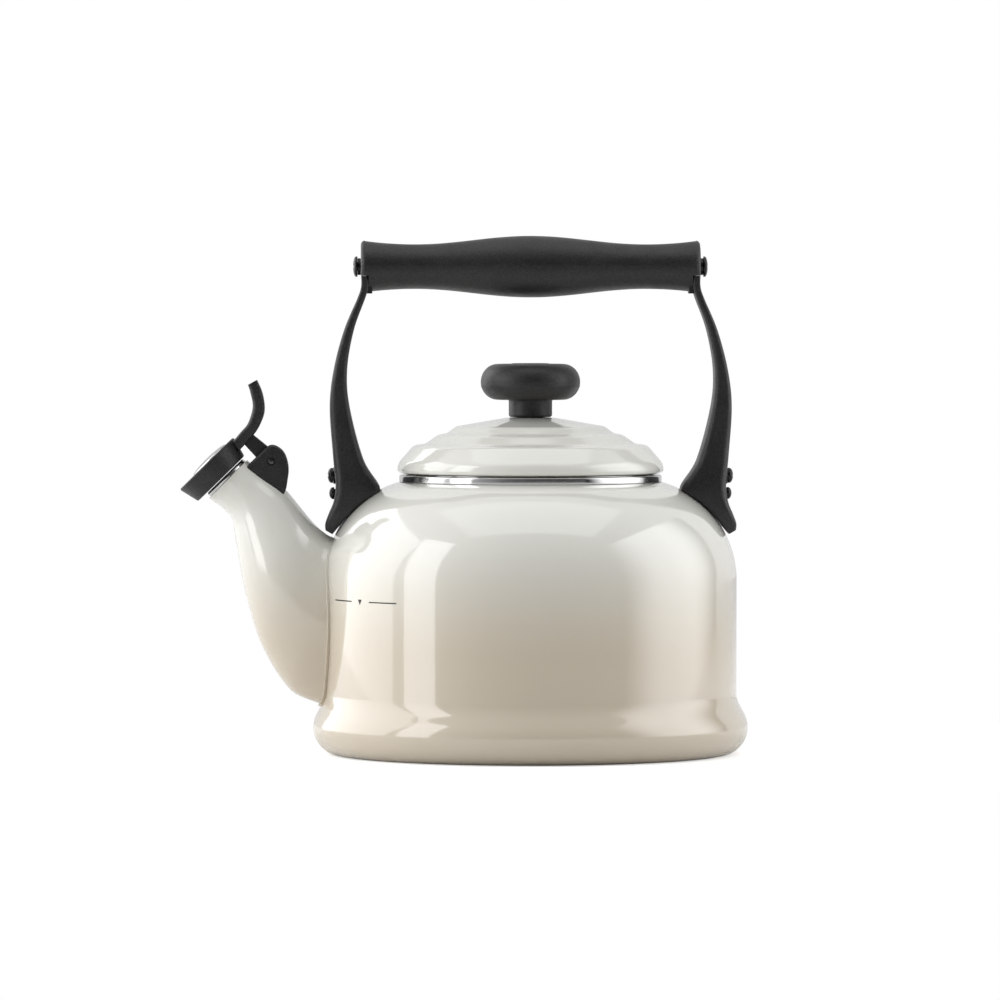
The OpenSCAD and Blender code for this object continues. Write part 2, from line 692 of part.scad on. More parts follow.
module thumb_lever() {
    grip_line = smooth([[15, lever_high], [19, lever_high + 0.4], [24, lever_high + 1], [30.5, lever_high + 4.7],
                        [34.4, lever_high + 10.3], [35.6, lever_high + 13]], 4);
    back_line = smooth([[40.4, lever_high + 12.1], [37.6, lever_high + 5], [31.4, lever_low + 3.4],
                        [24, lever_low + 0.9], [14.8, lever_low]], 4);
    leg = [[pin_x - 3.4, lever_low + 2], [pin_x - 3, pin_z], [pin_x + 3, pin_z], [pin_x + 2.2, lever_low + 2]];
    color(BLACK) at_mouth() difference() {
        union() {
            plate_y(lever_w) polygon(concat(grip_line, back_line));
            translate([tongue_in, -lever_tongue_w / 2, lever_low])
                cube([8, lever_tongue_w, lever_high - lever_low - 1.5]);
            plate_y(slot_w - 2 * move_gap) polygon(leg);
            translate([pin_x, 0, pin_z]) cylinder_y(knuckle_r, slot_w - 2 * move_gap);
        }
        translate([pin_x, 0, pin_z]) cylinder_y(pin_r + run_gap, slot_w + 2);
        translate([pin_x, 0, pin_z]) cylinder_y(knuckle_r - 0.8, spring_gap_w);
        translate([-cap_offset, 0, cap_low]) difference() {
            cylinder(r1 = cap_foot_d / 2 + seat_gap, r2 = cap_d / 2 + seat_gap, h = cap_t);
            translate([0, -lever_tongue_w / 2, 0]) cube([40, lever_tongue_w, cap_t - 1]);
        }
    }
}

// --- lid ---

// The lid's corners are drawn for this radius and height, and stretched to the real ones.
drawn_lid_r = 59.2;
drawn_lid_h = 25.4;
lid_r = ring_r + lid_over;
lid_low = ring_top + move_gap;
lid_high = lid_low + lid_h;
lid_across = lid_r / drawn_lid_r;
lid_up = lid_h / drawn_lid_h;
lid_corners = [
    [55.7, 0, 0], [59.7, 0.9, 2], [59, 5, 2.6], [52.2, 12.9, 2], [46.9, 13.5, 1.6],
    [41.3, 17.5, 1.4], [37.3, 18.2, 1.2], [33.2, 21.3, 1.3], [10.5, 25.2, 1.5], [2.3, 25.4, 0]
];
lid_line = eased([for (c = lid_corners) [c.x * lid_across, lid_low + c.y * lid_up, c.z]]);
knob_hole_r = knob_screw_d / 2 + 0.2;
collar_r = ring_hole_r - 0.4;

module lid_shell() {
    color(ENAMEL) difference() {
        rotate_extrude($fn = 128) polygon(concat(lid_line, reversed(shifted(lid_line, -lid_t))));
        translate([0, 0, lid_low]) cylinder(r = knob_hole_r, h = lid_h + 5);
    }
}

module lid_collar() {
    low = lid_low - collar_depth;
    flange_z = lid_low + 1.6 * lid_up;
    flange_r = 58.4 * lid_across - lid_t - 0.6;
    color(STEEL) rotate_extrude($fn = 128)
        polygon([[collar_r - trim_t, low], [collar_r, low], [collar_r, flange_z], [flange_r, flange_z],
                 [flange_r, flange_z + trim_t], [collar_r - trim_t, flange_z + trim_t]]);
}

knob_z = lid_high + seat_gap;
neck_r = knob_neck_d / 2;
rim_r = knob_t / 2;
rim_across = rim_r * 0.94;
insert_r = 4.2;
insert_l = 12;

module knob() {
    mid_z = knob_z + knob_neck_h + rim_r;
    rim = [for (a = [-90 : 10 : 90]) [knob_d / 2 - rim_across + rim_across * cos(a), mid_z + rim_r * sin(a)]];
    color(BLACK) difference() {
        rotate_extrude($fn = 96) polygon(concat(
            [[0, knob_z], [neck_r - 0.7, knob_z], [neck_r, knob_z + 0.7], [neck_r, knob_z + knob_neck_h - 0.8],
             [neck_r + 0.8, knob_z + knob_neck_h]],
            rim, [[0, mid_z + rim_r + 0.4]]));
        translate([0, 0, knob_z - 1]) cylinder(r = insert_r + seat_gap, h = insert_l + 1.2);
        translate([0, 0, knob_z - 1]) cylinder(r = knob_screw_d / 2 + seat_gap, h = insert_l + 4);
    }
}

module knob_insert() {
    color(BRASS) translate([0, 0, knob_z + 0.1]) washer(insert_r, knob_screw_d / 2 + seat_gap, insert_l);
}

washer_t = 1;
washer_top = lid_high - lid_t - seat_gap * 2 - 0.4;

module knob_washer() {
    color(STEEL) translate([0, 0, washer_top - washer_t]) washer(6, knob_hole_r, washer_t);
}

module knob_screw() {
    color(STEEL) translate([0, 0, washer_top - washer_t - seat_gap]) rotate([180, 0, 0])
        domed_screw(knob_screw_d / 2, 13, 4, 2.4);
}

body_shell();
base_plate();
spout();
spout_rim();
opening_ring();
handle_lug(-1);  // left_handle_lug
handle_lug(1);  // right_handle_lug
handle_arm(-1);  // left_handle_arm
handle_arm(1);  // right_handle_arm
handle_grip();
grip_insert(-1);  // left_grip_insert
grip_insert(1);  // right_grip_insert
grip_screw(-1);  // left_grip_screw
grip_screw(1);  // right_grip_screw
grip_washer(-1);  // left_grip_washer
grip_washer(1);  // right_grip_washer
foot_screw(-1);  // left_foot_screw
foot_screw(1);  // right_foot_screw
foot_washer(-1);  // left_foot_washer
foot_washer(1);  // right_foot_washer
foot_pin(-1);  // left_foot_pin
foot_pin(1);  // right_foot_pin
spout_bracket();
hinge_housing();
housing_screw();
hinge_pin();
return_spring();
whistle_cap();
whistle_outer_plate();
whistle_inner_plate();
mouth_seal();
thumb_lever();
lid_shell();
lid_collar();
knob();
knob_insert();
knob_screw();
knob_washer();
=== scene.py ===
# A stovetop whistling kettle: the finish of every surface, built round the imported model.
from math import acos, atan2, ceil, cos, hypot, pi, radians, sin, sqrt

import bpy
from mathutils import Matrix, Vector


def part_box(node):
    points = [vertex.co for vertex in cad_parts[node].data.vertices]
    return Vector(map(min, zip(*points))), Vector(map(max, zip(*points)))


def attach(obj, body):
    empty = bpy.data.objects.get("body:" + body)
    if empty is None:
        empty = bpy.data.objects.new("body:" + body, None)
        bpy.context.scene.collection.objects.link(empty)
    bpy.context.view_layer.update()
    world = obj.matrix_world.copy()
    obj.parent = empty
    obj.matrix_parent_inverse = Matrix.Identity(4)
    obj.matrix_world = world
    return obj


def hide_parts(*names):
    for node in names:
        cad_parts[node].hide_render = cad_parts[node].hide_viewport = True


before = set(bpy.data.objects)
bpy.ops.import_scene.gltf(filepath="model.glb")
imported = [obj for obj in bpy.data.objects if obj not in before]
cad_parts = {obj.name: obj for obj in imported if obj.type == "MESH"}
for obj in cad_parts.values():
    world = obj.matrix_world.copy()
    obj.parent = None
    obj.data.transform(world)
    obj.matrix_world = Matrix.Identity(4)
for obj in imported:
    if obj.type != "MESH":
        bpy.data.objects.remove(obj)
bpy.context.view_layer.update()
MM = 0.001


# ---------------------------------------------------------------- sizes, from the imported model

def low_corner(node):
    return Vector(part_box(node)[0])


def high_corner(node):
    return Vector(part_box(node)[1])


FOOT_R = high_corner("body_shell").x
SHELL_H = high_corner("body_shell").z
FLARE_OUT = 5.3 * MM
WALL_R = FOOT_R - FLARE_OUT
FLARE_H = 12 * MM
FLARE_TOP = 27 * MM
FOOT_ROUND = 11.4 * MM
SHOULDER_Z = 78 * MM
DOME_A = 46.1 * MM
RING_R = high_corner("opening_ring").x
RING_TOP = high_corner("opening_ring").z
RING_HOLE_R = RING_R - 4.2 * MM
SHEET = 1.2 * MM
DOME_CENTRE = WALL_R - DOME_A
DOME_END = acos((RING_R - DOME_CENTRE) / DOME_A)
DOME_B = (SHELL_H - SHOULDER_Z) / sin(DOME_END)

LID_LOW = low_corner("lid_shell").z
LID_TOP = high_corner("lid_shell").z
LID_R = 59.2 * MM
KNOB_LOW = low_corner("knob").z
KNOB_TOP = high_corner("knob").z
KNOB_R = high_corner("knob").x

GRIP_HALF = high_corner("handle_grip").x
GRIP_R = high_corner("handle_grip").y
GRIP_Z = (high_corner("handle_grip").z + low_corner("handle_grip").z) / 2
WAIST_R = 9.95 * MM
END_R = 11.7 * MM
ARM_OUT = 89.6 * MM
FOOT_SCREW_Z = 124.3 * MM
FOOT_PIN_Z = 116.4 * MM
NOTCH_TOP = GRIP_Z - 4 * MM

MOUTH_R = 10.9 * MM
MOUTH_LEAN = radians(44.3)
MOUTH_X = -(WALL_R + 42.9 * MM)
MOUTH_Z = 122.7 * MM
MOUTH = Matrix.Translation((MOUTH_X, 0, MOUTH_Z)) @ Matrix.Rotation(-MOUTH_LEAN, 4, "Y")
SPOUT_WALL = 1.2 * MM
ROOT_LOW = 22.6 * MM
ROOT_HIGH = SHOULDER_Z + 17 * MM
ROOT_HALF_W = 20.5 * MM
RIM_H = 2 * MM
CAP_LOW = 2.3 * MM
CAP_T = 9.5 * MM
CAP_TOP = CAP_LOW + CAP_T
CAP_OFFSET = 2 * MM
PIN_X = 19.5 * MM
PIN_Z = -7.7 * MM
HOUSING_W = 15 * MM
SLOT_W = 7.6 * MM


# ---------------------------------------------------------------- outline helpers

def along(knots, t):
    """A point on the smooth curve through knots, where t counts knots."""
    last = len(knots) - 1
    i = min(int(t), last - 1)
    f = t - i
    a, b, c, d = (Vector(knots[k]) for k in (max(i - 1, 0), i, i + 1, min(i + 2, last)))
    return (2 * b + (c - a) * f + (2 * a - 5 * b + 4 * c - d) * f ** 2
            + (3 * b - a - 3 * c + d) * f ** 3) / 2


def smooth(knots, steps):
    return [along(knots, i / steps) for i in range((len(knots) - 1) * steps + 1)]


def eased(corners, steps=6):
    """Corners (x, y, cut-back) joined by straight lines and rounded where the cut-back isn't 0."""
    points = []
    for i, (x, y, cut) in enumerate(corners):
        here = Vector((x, y))
        if cut == 0:
            points.append(here)
            continue
        before = Vector(corners[i - 1][:2]) - here
        after = Vector(corners[(i + 1) % len(corners)][:2]) - here
        cut = min(cut, 0.48 * before.length, 0.48 * after.length)
        start = here + cut * before.normalized()
        end = here + cut * after.normalized()
        for k in range(steps + 1):
            f = k / steps
            points.append((1 - f) ** 2 * start + 2 * f * (1 - f) * here + f ** 2 * end)
    return points


def shifted(path, d):
    """A path moved sideways by d, to the right of its direction."""
    moved = []
    for i, point in enumerate(path):
        way = (path[min(i + 1, len(path) - 1)] - path[max(i - 1, 0)]).normalized()
        moved.append(point + d * Vector((way.y, -way.x)))
    return moved


def in_mm(corners):
    return [tuple(value * MM for value in corner) for corner in corners]


def body_radius(z):
    """Outside radius of the body at a height."""
    if z < FLARE_H:
        return FOOT_R - FOOT_ROUND * (1 - sqrt(max(0, 1 - (1 - z / FLARE_H) ** 2)))
    if z < FLARE_TOP:
        return WALL_R + FLARE_OUT * (1 + cos(pi * (z - FLARE_H) / (FLARE_TOP - FLARE_H))) / 2
    if z < SHOULDER_Z:
        return WALL_R
    return DOME_CENTRE + DOME_A * sqrt(max(0, 1 - ((z - SHOULDER_Z) / DOME_B) ** 2))


# ---------------------------------------------------------------- modelling helpers

def deselect():
    bpy.ops.object.select_all(action="DESELECT")


def edit(piece):
    deselect()
    bpy.context.view_layer.objects.active = piece
    piece.select_set(True)
    bpy.ops.object.mode_set(mode="EDIT")


def leave_edit():
    bpy.ops.object.mode_set(mode="OBJECT")


def apply_place(piece):
    deselect()
    bpy.context.view_layer.objects.active = piece
    piece.select_set(True)
    bpy.ops.object.transform_apply(location=True, rotation=True, scale=True)


def place(piece, matrix):
    piece.matrix_world = matrix
    apply_place(piece)
    return piece


def modify(piece, kind, **settings):
    """Adds a modifier and applies it."""
    deselect()
    bpy.context.view_layer.objects.active = piece
    piece.select_set(True)
    modifier = piece.modifiers.new(kind.title(), kind)
    for name, value in settings.items():
        setattr(modifier, name, value)
    bpy.ops.object.modifier_apply(modifier=modifier.name)
    return piece


def shade(piece, angle=35):
    deselect()
    bpy.context.view_layer.objects.active = piece
    piece.select_set(True)
    bpy.ops.object.shade_smooth_by_angle(angle=radians(angle))
    return piece


def new_piece(name):
    piece = bpy.context.object
    piece.name = name
    piece.data.name = name
    return piece


def outward_faces():
    bpy.ops.mesh.select_all(action="SELECT")
    bpy.ops.mesh.remove_doubles(threshold=0.000002)
    bpy.ops.mesh.normals_make_consistent(inside=False)


def turned(name, outline, steps=160, closed=True):
    """A piece turned on the Z axis from an outline of (radius, height) points."""
    points = [Vector((p[0], 0, p[1])) for p in outline]
    if closed:
        points.append(points[0])
    deselect()
    bpy.ops.mesh.primitive_plane_add(size=MM, location=points[0])
    piece = new_piece(name)
    bpy.ops.object.mode_set(mode="EDIT")
    bpy.ops.mesh.select_all(action="SELECT")
    bpy.ops.mesh.merge(type="CENTER")
    for here, there in zip(points, points[1:]):
        bpy.ops.mesh.extrude_region_move(TRANSFORM_OT_translate={"value": there - here})
    bpy.ops.mesh.select_all(action="SELECT")
    bpy.ops.mesh.spin(steps=steps, angle=2 * pi, center=(0, 0, 0), axis=(0, 0, 1))
    outward_faces()
    leave_edit()
    apply_place(piece)
    return shade(piece)


def lofted(name, rings, ends=True):
    """A skin over rings of points, all with as many points, closed at both ends."""
    count = len(rings[0])
    step = 10 * MM
    deselect()
    bpy.ops.mesh.primitive_circle_add(vertices=count, radius=step, fill_type="NOTHING")
    piece = new_piece(name)
    bpy.ops.object.mode_set(mode="EDIT")
    bpy.ops.mesh.select_all(action="SELECT")
    for _ in rings[1:]:
        bpy.ops.mesh.extrude_region_move(TRANSFORM_OT_translate={"value": (0, 0, step)})
    leave_edit()
    for vertex in piece.data.vertices:
        ring = round(vertex.co.z / step)
        slot = round(atan2(vertex.co.y, vertex.co.x) / (2 * pi) * count) % count
        vertex.co = rings[ring][slot]
    edit(piece)
    if ends:
        bpy.ops.mesh.select_all(action="SELECT")
        bpy.ops.mesh.region_to_loop()
        bpy.ops.mesh.select_all(action="DESELECT")
        bpy.ops.mesh.select_non_manifold()
        bpy.ops.mesh.edge_face_add() if len(rings) == 1 else bpy.ops.mesh.fill_holes(sides=0)
    outward_faces()
    leave_edit()
    return shade(piece)


def plate(name, outline, width, bevel=0.0, segments=3):
    """An outline in the X-Z plane made a plate along Y, with its edges rounded."""
    count = len(outline)
    deselect()
    bpy.ops.mesh.primitive_circle_add(vertices=count, radius=10 * MM, fill_type="NGON")
    piece = new_piece(name)
    for vertex in piece.data.vertices:
        slot = round(atan2(vertex.co.y, vertex.co.x) / (2 * pi) * count) % count
        vertex.co = (outline[slot][0], -width / 2, outline[slot][1])
    edit(piece)
    bpy.ops.mesh.select_all(action="SELECT")
    bpy.ops.mesh.extrude_region_move(TRANSFORM_OT_translate={"value": (0, width, 0)})
    outward_faces()
    leave_edit()
    if bevel:
        modify(piece, "BEVEL", width=bevel, segments=segments, limit_method="ANGLE",
               angle_limit=radians(50), harden_normals=False)
    return shade(piece)


def cut(piece, cutter, operation="DIFFERENCE"):
    """Cuts a piece with another, which is then removed."""
    modify(piece, "BOOLEAN", object=cutter, operation=operation, solver="EXACT")
    bpy.data.objects.remove(cutter, do_unlink=True)
    return piece


def block(low, high, name="cutter"):
    """A plain box between two corners, used to cut with."""
    deselect()
    middle = [(a + b) / 2 for a, b in zip(low, high)]
    bpy.ops.mesh.primitive_cube_add(size=1, location=middle)
    piece = new_piece(name)
    piece.scale = [b - a for a, b in zip(low, high)]
    apply_place(piece)
    return piece


def copy_of(piece, name, matrix):
    """A copy with its own mesh, moved by a matrix; a mirrored copy is turned the right way out."""
    twin = piece.copy()
    twin.data = piece.data.copy()
    twin.name = name
    twin.data.name = name
    bpy.context.collection.objects.link(twin)
    twin.data.transform(matrix)
    if matrix.determinant() < 0:
        twin.data.flip_normals()
    return twin


def finish_piece(piece, body, material, slot, *nodes):
    """Gives a piece its material and its body, and hides the CAD nodes that it stands for."""
    piece.data.materials.clear()
    piece.data.materials.append(material)
    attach(piece, body)
    if nodes:
        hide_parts(*nodes)
    return piece


# ---------------------------------------------------------------- shader helpers

def node_tree(name):
    material = bpy.data.materials.new(name)
    material.use_nodes = True
    tree = material.node_tree
    shader = tree.nodes["Principled BSDF"]
    return material, tree, shader


def add(tree, kind, **values):
    node = tree.nodes.new(kind)
    for name, value in values.items():
        if name in node.inputs:
            node.inputs[name].default_value = value
        else:
            setattr(node, name, value)
    return node


def grain_group():
    """Fine moulded grain: a speckle mask and a height, at a chosen size."""
    group = bpy.data.node_groups.new("moulded_grain", "ShaderNodeTree")
    size = group.interface.new_socket("Size", in_out="INPUT", socket_type="NodeSocketFloat")
    size.default_value = 900
    group.interface.new_socket("Speckle", in_out="OUTPUT", socket_type="NodeSocketFloat")
    group.interface.new_socket("Height", in_out="OUTPUT", socket_type="NodeSocketFloat")
    inlet = group.nodes.new("NodeGroupInput")
    outlet = group.nodes.new("NodeGroupOutput")
    place_on = group.nodes.new("ShaderNodeTexCoord")
    fine = add(group, "ShaderNodeTexNoise", Detail=3.0, Roughness=0.65)
    coarse = add(group, "ShaderNodeTexNoise", Detail=2.0, Roughness=0.5, Scale=70.0)
    cells = add(group, "ShaderNodeTexVoronoi", Randomness=1.0)
    both = add(group, "ShaderNodeMath", operation="MULTIPLY_ADD")
    mask = add(group, "ShaderNodeMapRange")
    mask.inputs["From Min"].default_value = 0.42
    mask.inputs["From Max"].default_value = 0.66
    for texture in (fine, coarse, cells):
        group.links.new(place_on.outputs["Object"], texture.inputs["Vector"])
    group.links.new(inlet.outputs["Size"], fine.inputs["Scale"])
    group.links.new(inlet.outputs["Size"], cells.inputs["Scale"])
    group.links.new(cells.outputs["Distance"], both.inputs[0])
    both.inputs[1].default_value = 0.5
    group.links.new(fine.outputs["Fac"], both.inputs[2])
    group.links.new(fine.outputs["Fac"], mask.inputs["Value"])
    group.links.new(mask.outputs["Result"], outlet.inputs["Speckle"])
    group.links.new(both.outputs["Value"], outlet.inputs["Height"])
    return group


def worn_group():
    """Slow unevenness of a finish, for roughness and colour."""
    group = bpy.data.node_groups.new("uneven_finish", "ShaderNodeTree")
    size = group.interface.new_socket("Size", in_out="INPUT", socket_type="NodeSocketFloat")
    size.default_value = 40
    low = group.interface.new_socket("Low", in_out="INPUT", socket_type="NodeSocketFloat")
    high = group.interface.new_socket("High", in_out="INPUT", socket_type="NodeSocketFloat")
    low.default_value, high.default_value = 0.1, 0.2
    group.interface.new_socket("Value", in_out="OUTPUT", socket_type="NodeSocketFloat")
    inlet = group.nodes.new("NodeGroupInput")
    outlet = group.nodes.new("NodeGroupOutput")
    place_on = group.nodes.new("ShaderNodeTexCoord")
    noise = add(group, "ShaderNodeTexNoise", Detail=4.0)
    spread = add(group, "ShaderNodeMapRange")
    spread.inputs["From Min"].default_value = 0.3
    spread.inputs["From Max"].default_value = 0.7
    group.links.new(place_on.outputs["Object"], noise.inputs["Vector"])
    group.links.new(inlet.outputs["Size"], noise.inputs["Scale"])
    group.links.new(noise.outputs["Fac"], spread.inputs["Value"])
    group.links.new(inlet.outputs["Low"], spread.inputs["To Min"])
    group.links.new(inlet.outputs["High"], spread.inputs["To Max"])
    group.links.new(spread.outputs["Result"], outlet.inputs["Value"])
    return group


def use_group(tree, group, **values):
    node = tree.nodes.new("ShaderNodeGroup")
    node.node_tree = group
    for name, value in values.items():
        node.inputs[name].default_value = value
    return node


GRAIN = grain_group()
UNEVEN = worn_group()

IVORY = (0.79, 0.79, 0.735, 1)
BEIGE = (0.64, 0.565, 0.455, 1)
OMBRE_LOW = 44 * MM
OMBRE_HIGH = 104 * MM


def enamel():
    """Glossy vitreous enamel, cool ivory above fading to warm beige below."""
    material, tree, shader = node_tree("enamel")
    place_on = add(tree, "ShaderNodeTexCoord")
    split = add(tree, "ShaderNodeSeparateXYZ")
    fade = add(tree, "ShaderNodeMapRange", interpolation_type="SMOOTHSTEP")
    fade.inputs["From Min"].default_value = OMBRE_LOW
    fade.inputs["From Max"].default_value = OMBRE_HIGH
    tint = add(tree, "ShaderNodeMix", data_type="RGBA")
    tint.inputs["A"].default_value = BEIGE
    tint.inputs["B"].default_value = IVORY
    tree.links.new(place_on.outputs["Object"], split.inputs["Vector"])
    tree.links.new(split.outputs["Z"], fade.inputs["Value"])
    tree.links.new(fade.outputs["Result"], tint.inputs["Factor"])
    tree.links.new(tint.outputs["Result"], shader.inputs["Base Color"])
    uneven = use_group(tree, UNEVEN, Size=22.0, Low=0.10, High=0.16)
    tree.links.new(uneven.outputs["Value"], shader.inputs["Roughness"])
    peel = add(tree, "ShaderNodeTexNoise", Scale=55.0, Detail=1.0)
    bump = add(tree, "ShaderNodeBump", Strength=0.05, Distance=0.0004)
    tree.links.new(place_on.outputs["Object"], peel.inputs["Vector"])
    tree.links.new(peel.outputs["Fac"], bump.inputs["Height"])
    tree.links.new(bump.outputs["Normal"], shader.inputs["Normal"])
    shader.inputs["IOR"].default_value = 1.52
    shader.inputs["Coat Weight"].default_value = 1.0
    shader.inputs["Coat Roughness"].default_value = 0.025
    shader.inputs["Coat IOR"].default_value = 1.5
    return material


def phenolic(name="black_phenolic", tone=0.0048, roughness=(0.36, 0.5)):
    """Matt black moulded phenolic with a fine grain."""
    material, tree, shader = node_tree(name)
    grain = use_group(tree, GRAIN, Size=1500.0)
    tint = add(tree, "ShaderNodeMix", data_type="RGBA")
    tint.inputs["A"].default_value = (tone, tone * 0.93, tone, 1)
    tint.inputs["B"].default_value = (tone * 4.4, tone * 4.1, tone * 4.5, 1)
    tree.links.new(grain.outputs["Speckle"], tint.inputs["Factor"])
    tree.links.new(tint.outputs["Result"], shader.inputs["Base Color"])
    uneven = use_group(tree, UNEVEN, Size=120.0, Low=roughness[0], High=roughness[1])
    tree.links.new(uneven.outputs["Value"], shader.inputs["Roughness"])
    bump = add(tree, "ShaderNodeBump", Strength=0.45, Distance=0.00025)
    tree.links.new(grain.outputs["Height"], bump.inputs["Height"])
    tree.links.new(bump.outputs["Normal"], shader.inputs["Normal"])
    shader.inputs["Specular IOR Level"].default_value = 0.5
    return material


def metal(name, colour, low, high, size=60.0, metallic=1.0):
    """A bare or blackened metal with a slightly uneven polish."""
    material, tree, shader = node_tree(name)
    uneven = use_group(tree, UNEVEN, Size=size, Low=low, High=high)
    tree.links.new(uneven.outputs["Value"], shader.inputs["Roughness"])
    shade_of = use_group(tree, UNEVEN, Size=size * 2, Low=0.0, High=1.0)
    tint = add(tree, "ShaderNodeMix", data_type="RGBA")
    tint.inputs["A"].default_value = (*[c * 0.93 for c in colour], 1)
    tint.inputs["B"].default_value = (*colour, 1)
    tree.links.new(shade_of.outputs["Value"], tint.inputs["Factor"])
    tree.links.new(tint.outputs["Result"], shader.inputs["Base Color"])
    shader.inputs["Metallic"].default_value = metallic
    return material


def rubbery(name, colour):
    material, tree, shader = node_tree(name)
    grain = use_group(tree, GRAIN, Size=700.0)
    tint = add(tree, "ShaderNodeMix", data_type="RGBA")
    tint.inputs["A"].default_value = (*colour, 1)
    tint.inputs["B"].default_value = (*[c * 1.15 for c in colour], 1)
    tree.links.new(grain.outputs["Speckle"], tint.inputs["Factor"])
    tree.links.new(tint.outputs["Result"], shader.inputs["Base Color"])
    uneven = use_group(tree, UNEVEN, Size=90.0, Low=0.6, High=0.75)
    tree.links.new(uneven.outputs["Value"], shader.inputs["Roughness"])
    return material


ENAMEL = enamel()
PHENOLIC = phenolic()
BLACK_SCREW = metal("black_screws", (0.018, 0.018, 0.02), 0.16, 0.28, 140.0, metallic=0.6)
STEEL = metal("steel_trim", (0.64, 0.64, 0.645), 0.07, 0.16)
POLISHED = metal("polished_steel", (0.56, 0.56, 0.57), 0.03, 0.08)
PLAIN_STEEL = metal("plain_steel", (0.56, 0.56, 0.57), 0.22, 0.36, 90.0)
DARK_STEEL = metal("dark_steel", (0.09, 0.09, 0.095), 0.2, 0.34, 90.0)
BASE_STEEL = metal("base_steel", (0.42, 0.41, 0.39), 0.34, 0.48, 45.0, metallic=0.85)
BRASS = metal("brass_insert", (0.68, 0.50, 0.24), 0.2, 0.34, 80.0)
SEAL = rubbery("grey_seal", (0.36, 0.36, 0.35))
MARK_INK = rubbery("level_ink", (0.05, 0.048, 0.045))


# ---------------------------------------------------------------- camera, light and floor

def point_at(thing, target):
    thing.rotation_euler = (Vector(target) - thing.location).to_track_quat("-Z", "Y").to_euler()


def make_camera():
    bpy.ops.object.camera_add(location=(-0.070, -3.2, 0.205))
    camera = bpy.context.object
    camera.data.lens = 258
    camera.data.sensor_width = 36
    camera.data.clip_end = 30
    point_at(camera, (-0.0136, 0, 0.1133))
    bpy.context.scene.camera = camera


def glow_material(name, strength, fade):
    """Light cloth of a softbox: even, or fading out towards both its sides."""
    material = bpy.data.materials.new(name)
    material.use_nodes = True
    tree = material.node_tree
    tree.nodes.clear()
    out = tree.nodes.new("ShaderNodeOutputMaterial")
    glow = tree.nodes.new("ShaderNodeEmission")
    glow.inputs["Strength"].default_value = strength
    tree.links.new(glow.outputs["Emission"], out.inputs["Surface"])
    if fade:
        uv = tree.nodes.new("ShaderNodeUVMap")
        split = tree.nodes.new("ShaderNodeSeparateXYZ")
        inward = add(tree, "ShaderNodeMath", operation="PINGPONG")
        inward.inputs[1].default_value = 0.5
        ramp = add(tree, "ShaderNodeMapRange", interpolation_type="SMOOTHSTEP")
        ramp.inputs["From Min"].default_value = 0.0
        ramp.inputs["From Max"].default_value = fade
        ramp.inputs["To Max"].default_value = strength
        tree.links.new(uv.outputs["UV"], split.inputs["Vector"])
        tree.links.new(split.outputs["X"], inward.inputs[0])
        tree.links.new(inward.outputs["Value"], ramp.inputs["Value"])
        tree.links.new(ramp.outputs["Result"], glow.inputs["Strength"])
    return material


def softbox(name, azimuth, elevation, distance, width, height, strength, fade=0.0):
    """A lit panel that faces the kettle; azimuth is counted from the front, to the right."""
    a, e = radians(azimuth), radians(elevation)
    middle = Vector((0, 0, 0.09))
    spot = middle + distance * Vector((sin(a) * cos(e), -cos(a) * cos(e), sin(e)))
    deselect()
    bpy.ops.mesh.primitive_plane_add(size=1, location=spot)
    panel = new_piece(name)
    panel.scale = (width, height, 1)
    panel.rotation_euler = (middle - spot).to_track_quat("Z", "Y").to_euler()
    panel.data.materials.append(glow_material(name, strength, fade))
    panel.visible_camera = False
    panel.visible_shadow = False


def make_floor():
    deselect()
    bpy.ops.mesh.primitive_circle_add(vertices=96, radius=2.5, fill_type="NGON", location=(0, 0, 0))
    floor = new_piece("floor")
    material, tree, shader = node_tree("pale_floor")
    shader.inputs["Base Color"].default_value = (0.8, 0.8, 0.795, 1)
    shader.inputs["Roughness"].default_value = 0.9
    shader.inputs["Specular IOR Level"].default_value = 0.1
    path = add(tree, "ShaderNodeLightPath")
    place_on = add(tree, "ShaderNodeTexCoord")
    reach = add(tree, "ShaderNodeVectorMath", operation="LENGTH")
    fade = add(tree, "ShaderNodeMapRange", interpolation_type="SMOOTHSTEP")
    fade.inputs["From Min"].default_value = 0.14
    fade.inputs["From Max"].default_value = 0.34
    hidden = add(tree, "ShaderNodeMath", operation="MULTIPLY")
    clear = add(tree, "ShaderNodeBsdfTransparent")
    either = tree.nodes.new("ShaderNodeMixShader")
    glow = add(tree, "ShaderNodeEmission")
    glow_level = add(tree, "ShaderNodeMath", operation="MULTIPLY")
    glow_level.inputs[1].default_value = 0.5
    both = tree.nodes.new("ShaderNodeAddShader")
    tree.links.new(place_on.outputs["Object"], reach.inputs[0])
    tree.links.new(reach.outputs["Value"], fade.inputs["Value"])
    tree.links.new(fade.outputs["Result"], hidden.inputs[0])
    tree.links.new(path.outputs["Is Camera Ray"], hidden.inputs[1])
    tree.links.new(path.outputs["Is Camera Ray"], glow_level.inputs[0])
    tree.links.new(glow_level.outputs["Value"], glow.inputs["Strength"])
    tree.links.new(shader.outputs["BSDF"], both.inputs[0])
    tree.links.new(glow.outputs["Emission"], both.inputs[1])
    tree.links.new(hidden.outputs["Value"], either.inputs["Fac"])
    tree.links.new(both.outputs["Shader"], either.inputs[1])
    tree.links.new(clear.outputs["BSDF"], either.inputs[2])
    tree.links.new(either.outputs["Shader"], tree.nodes["Material Output"].inputs["Surface"])
    floor.data.materials.append(material)


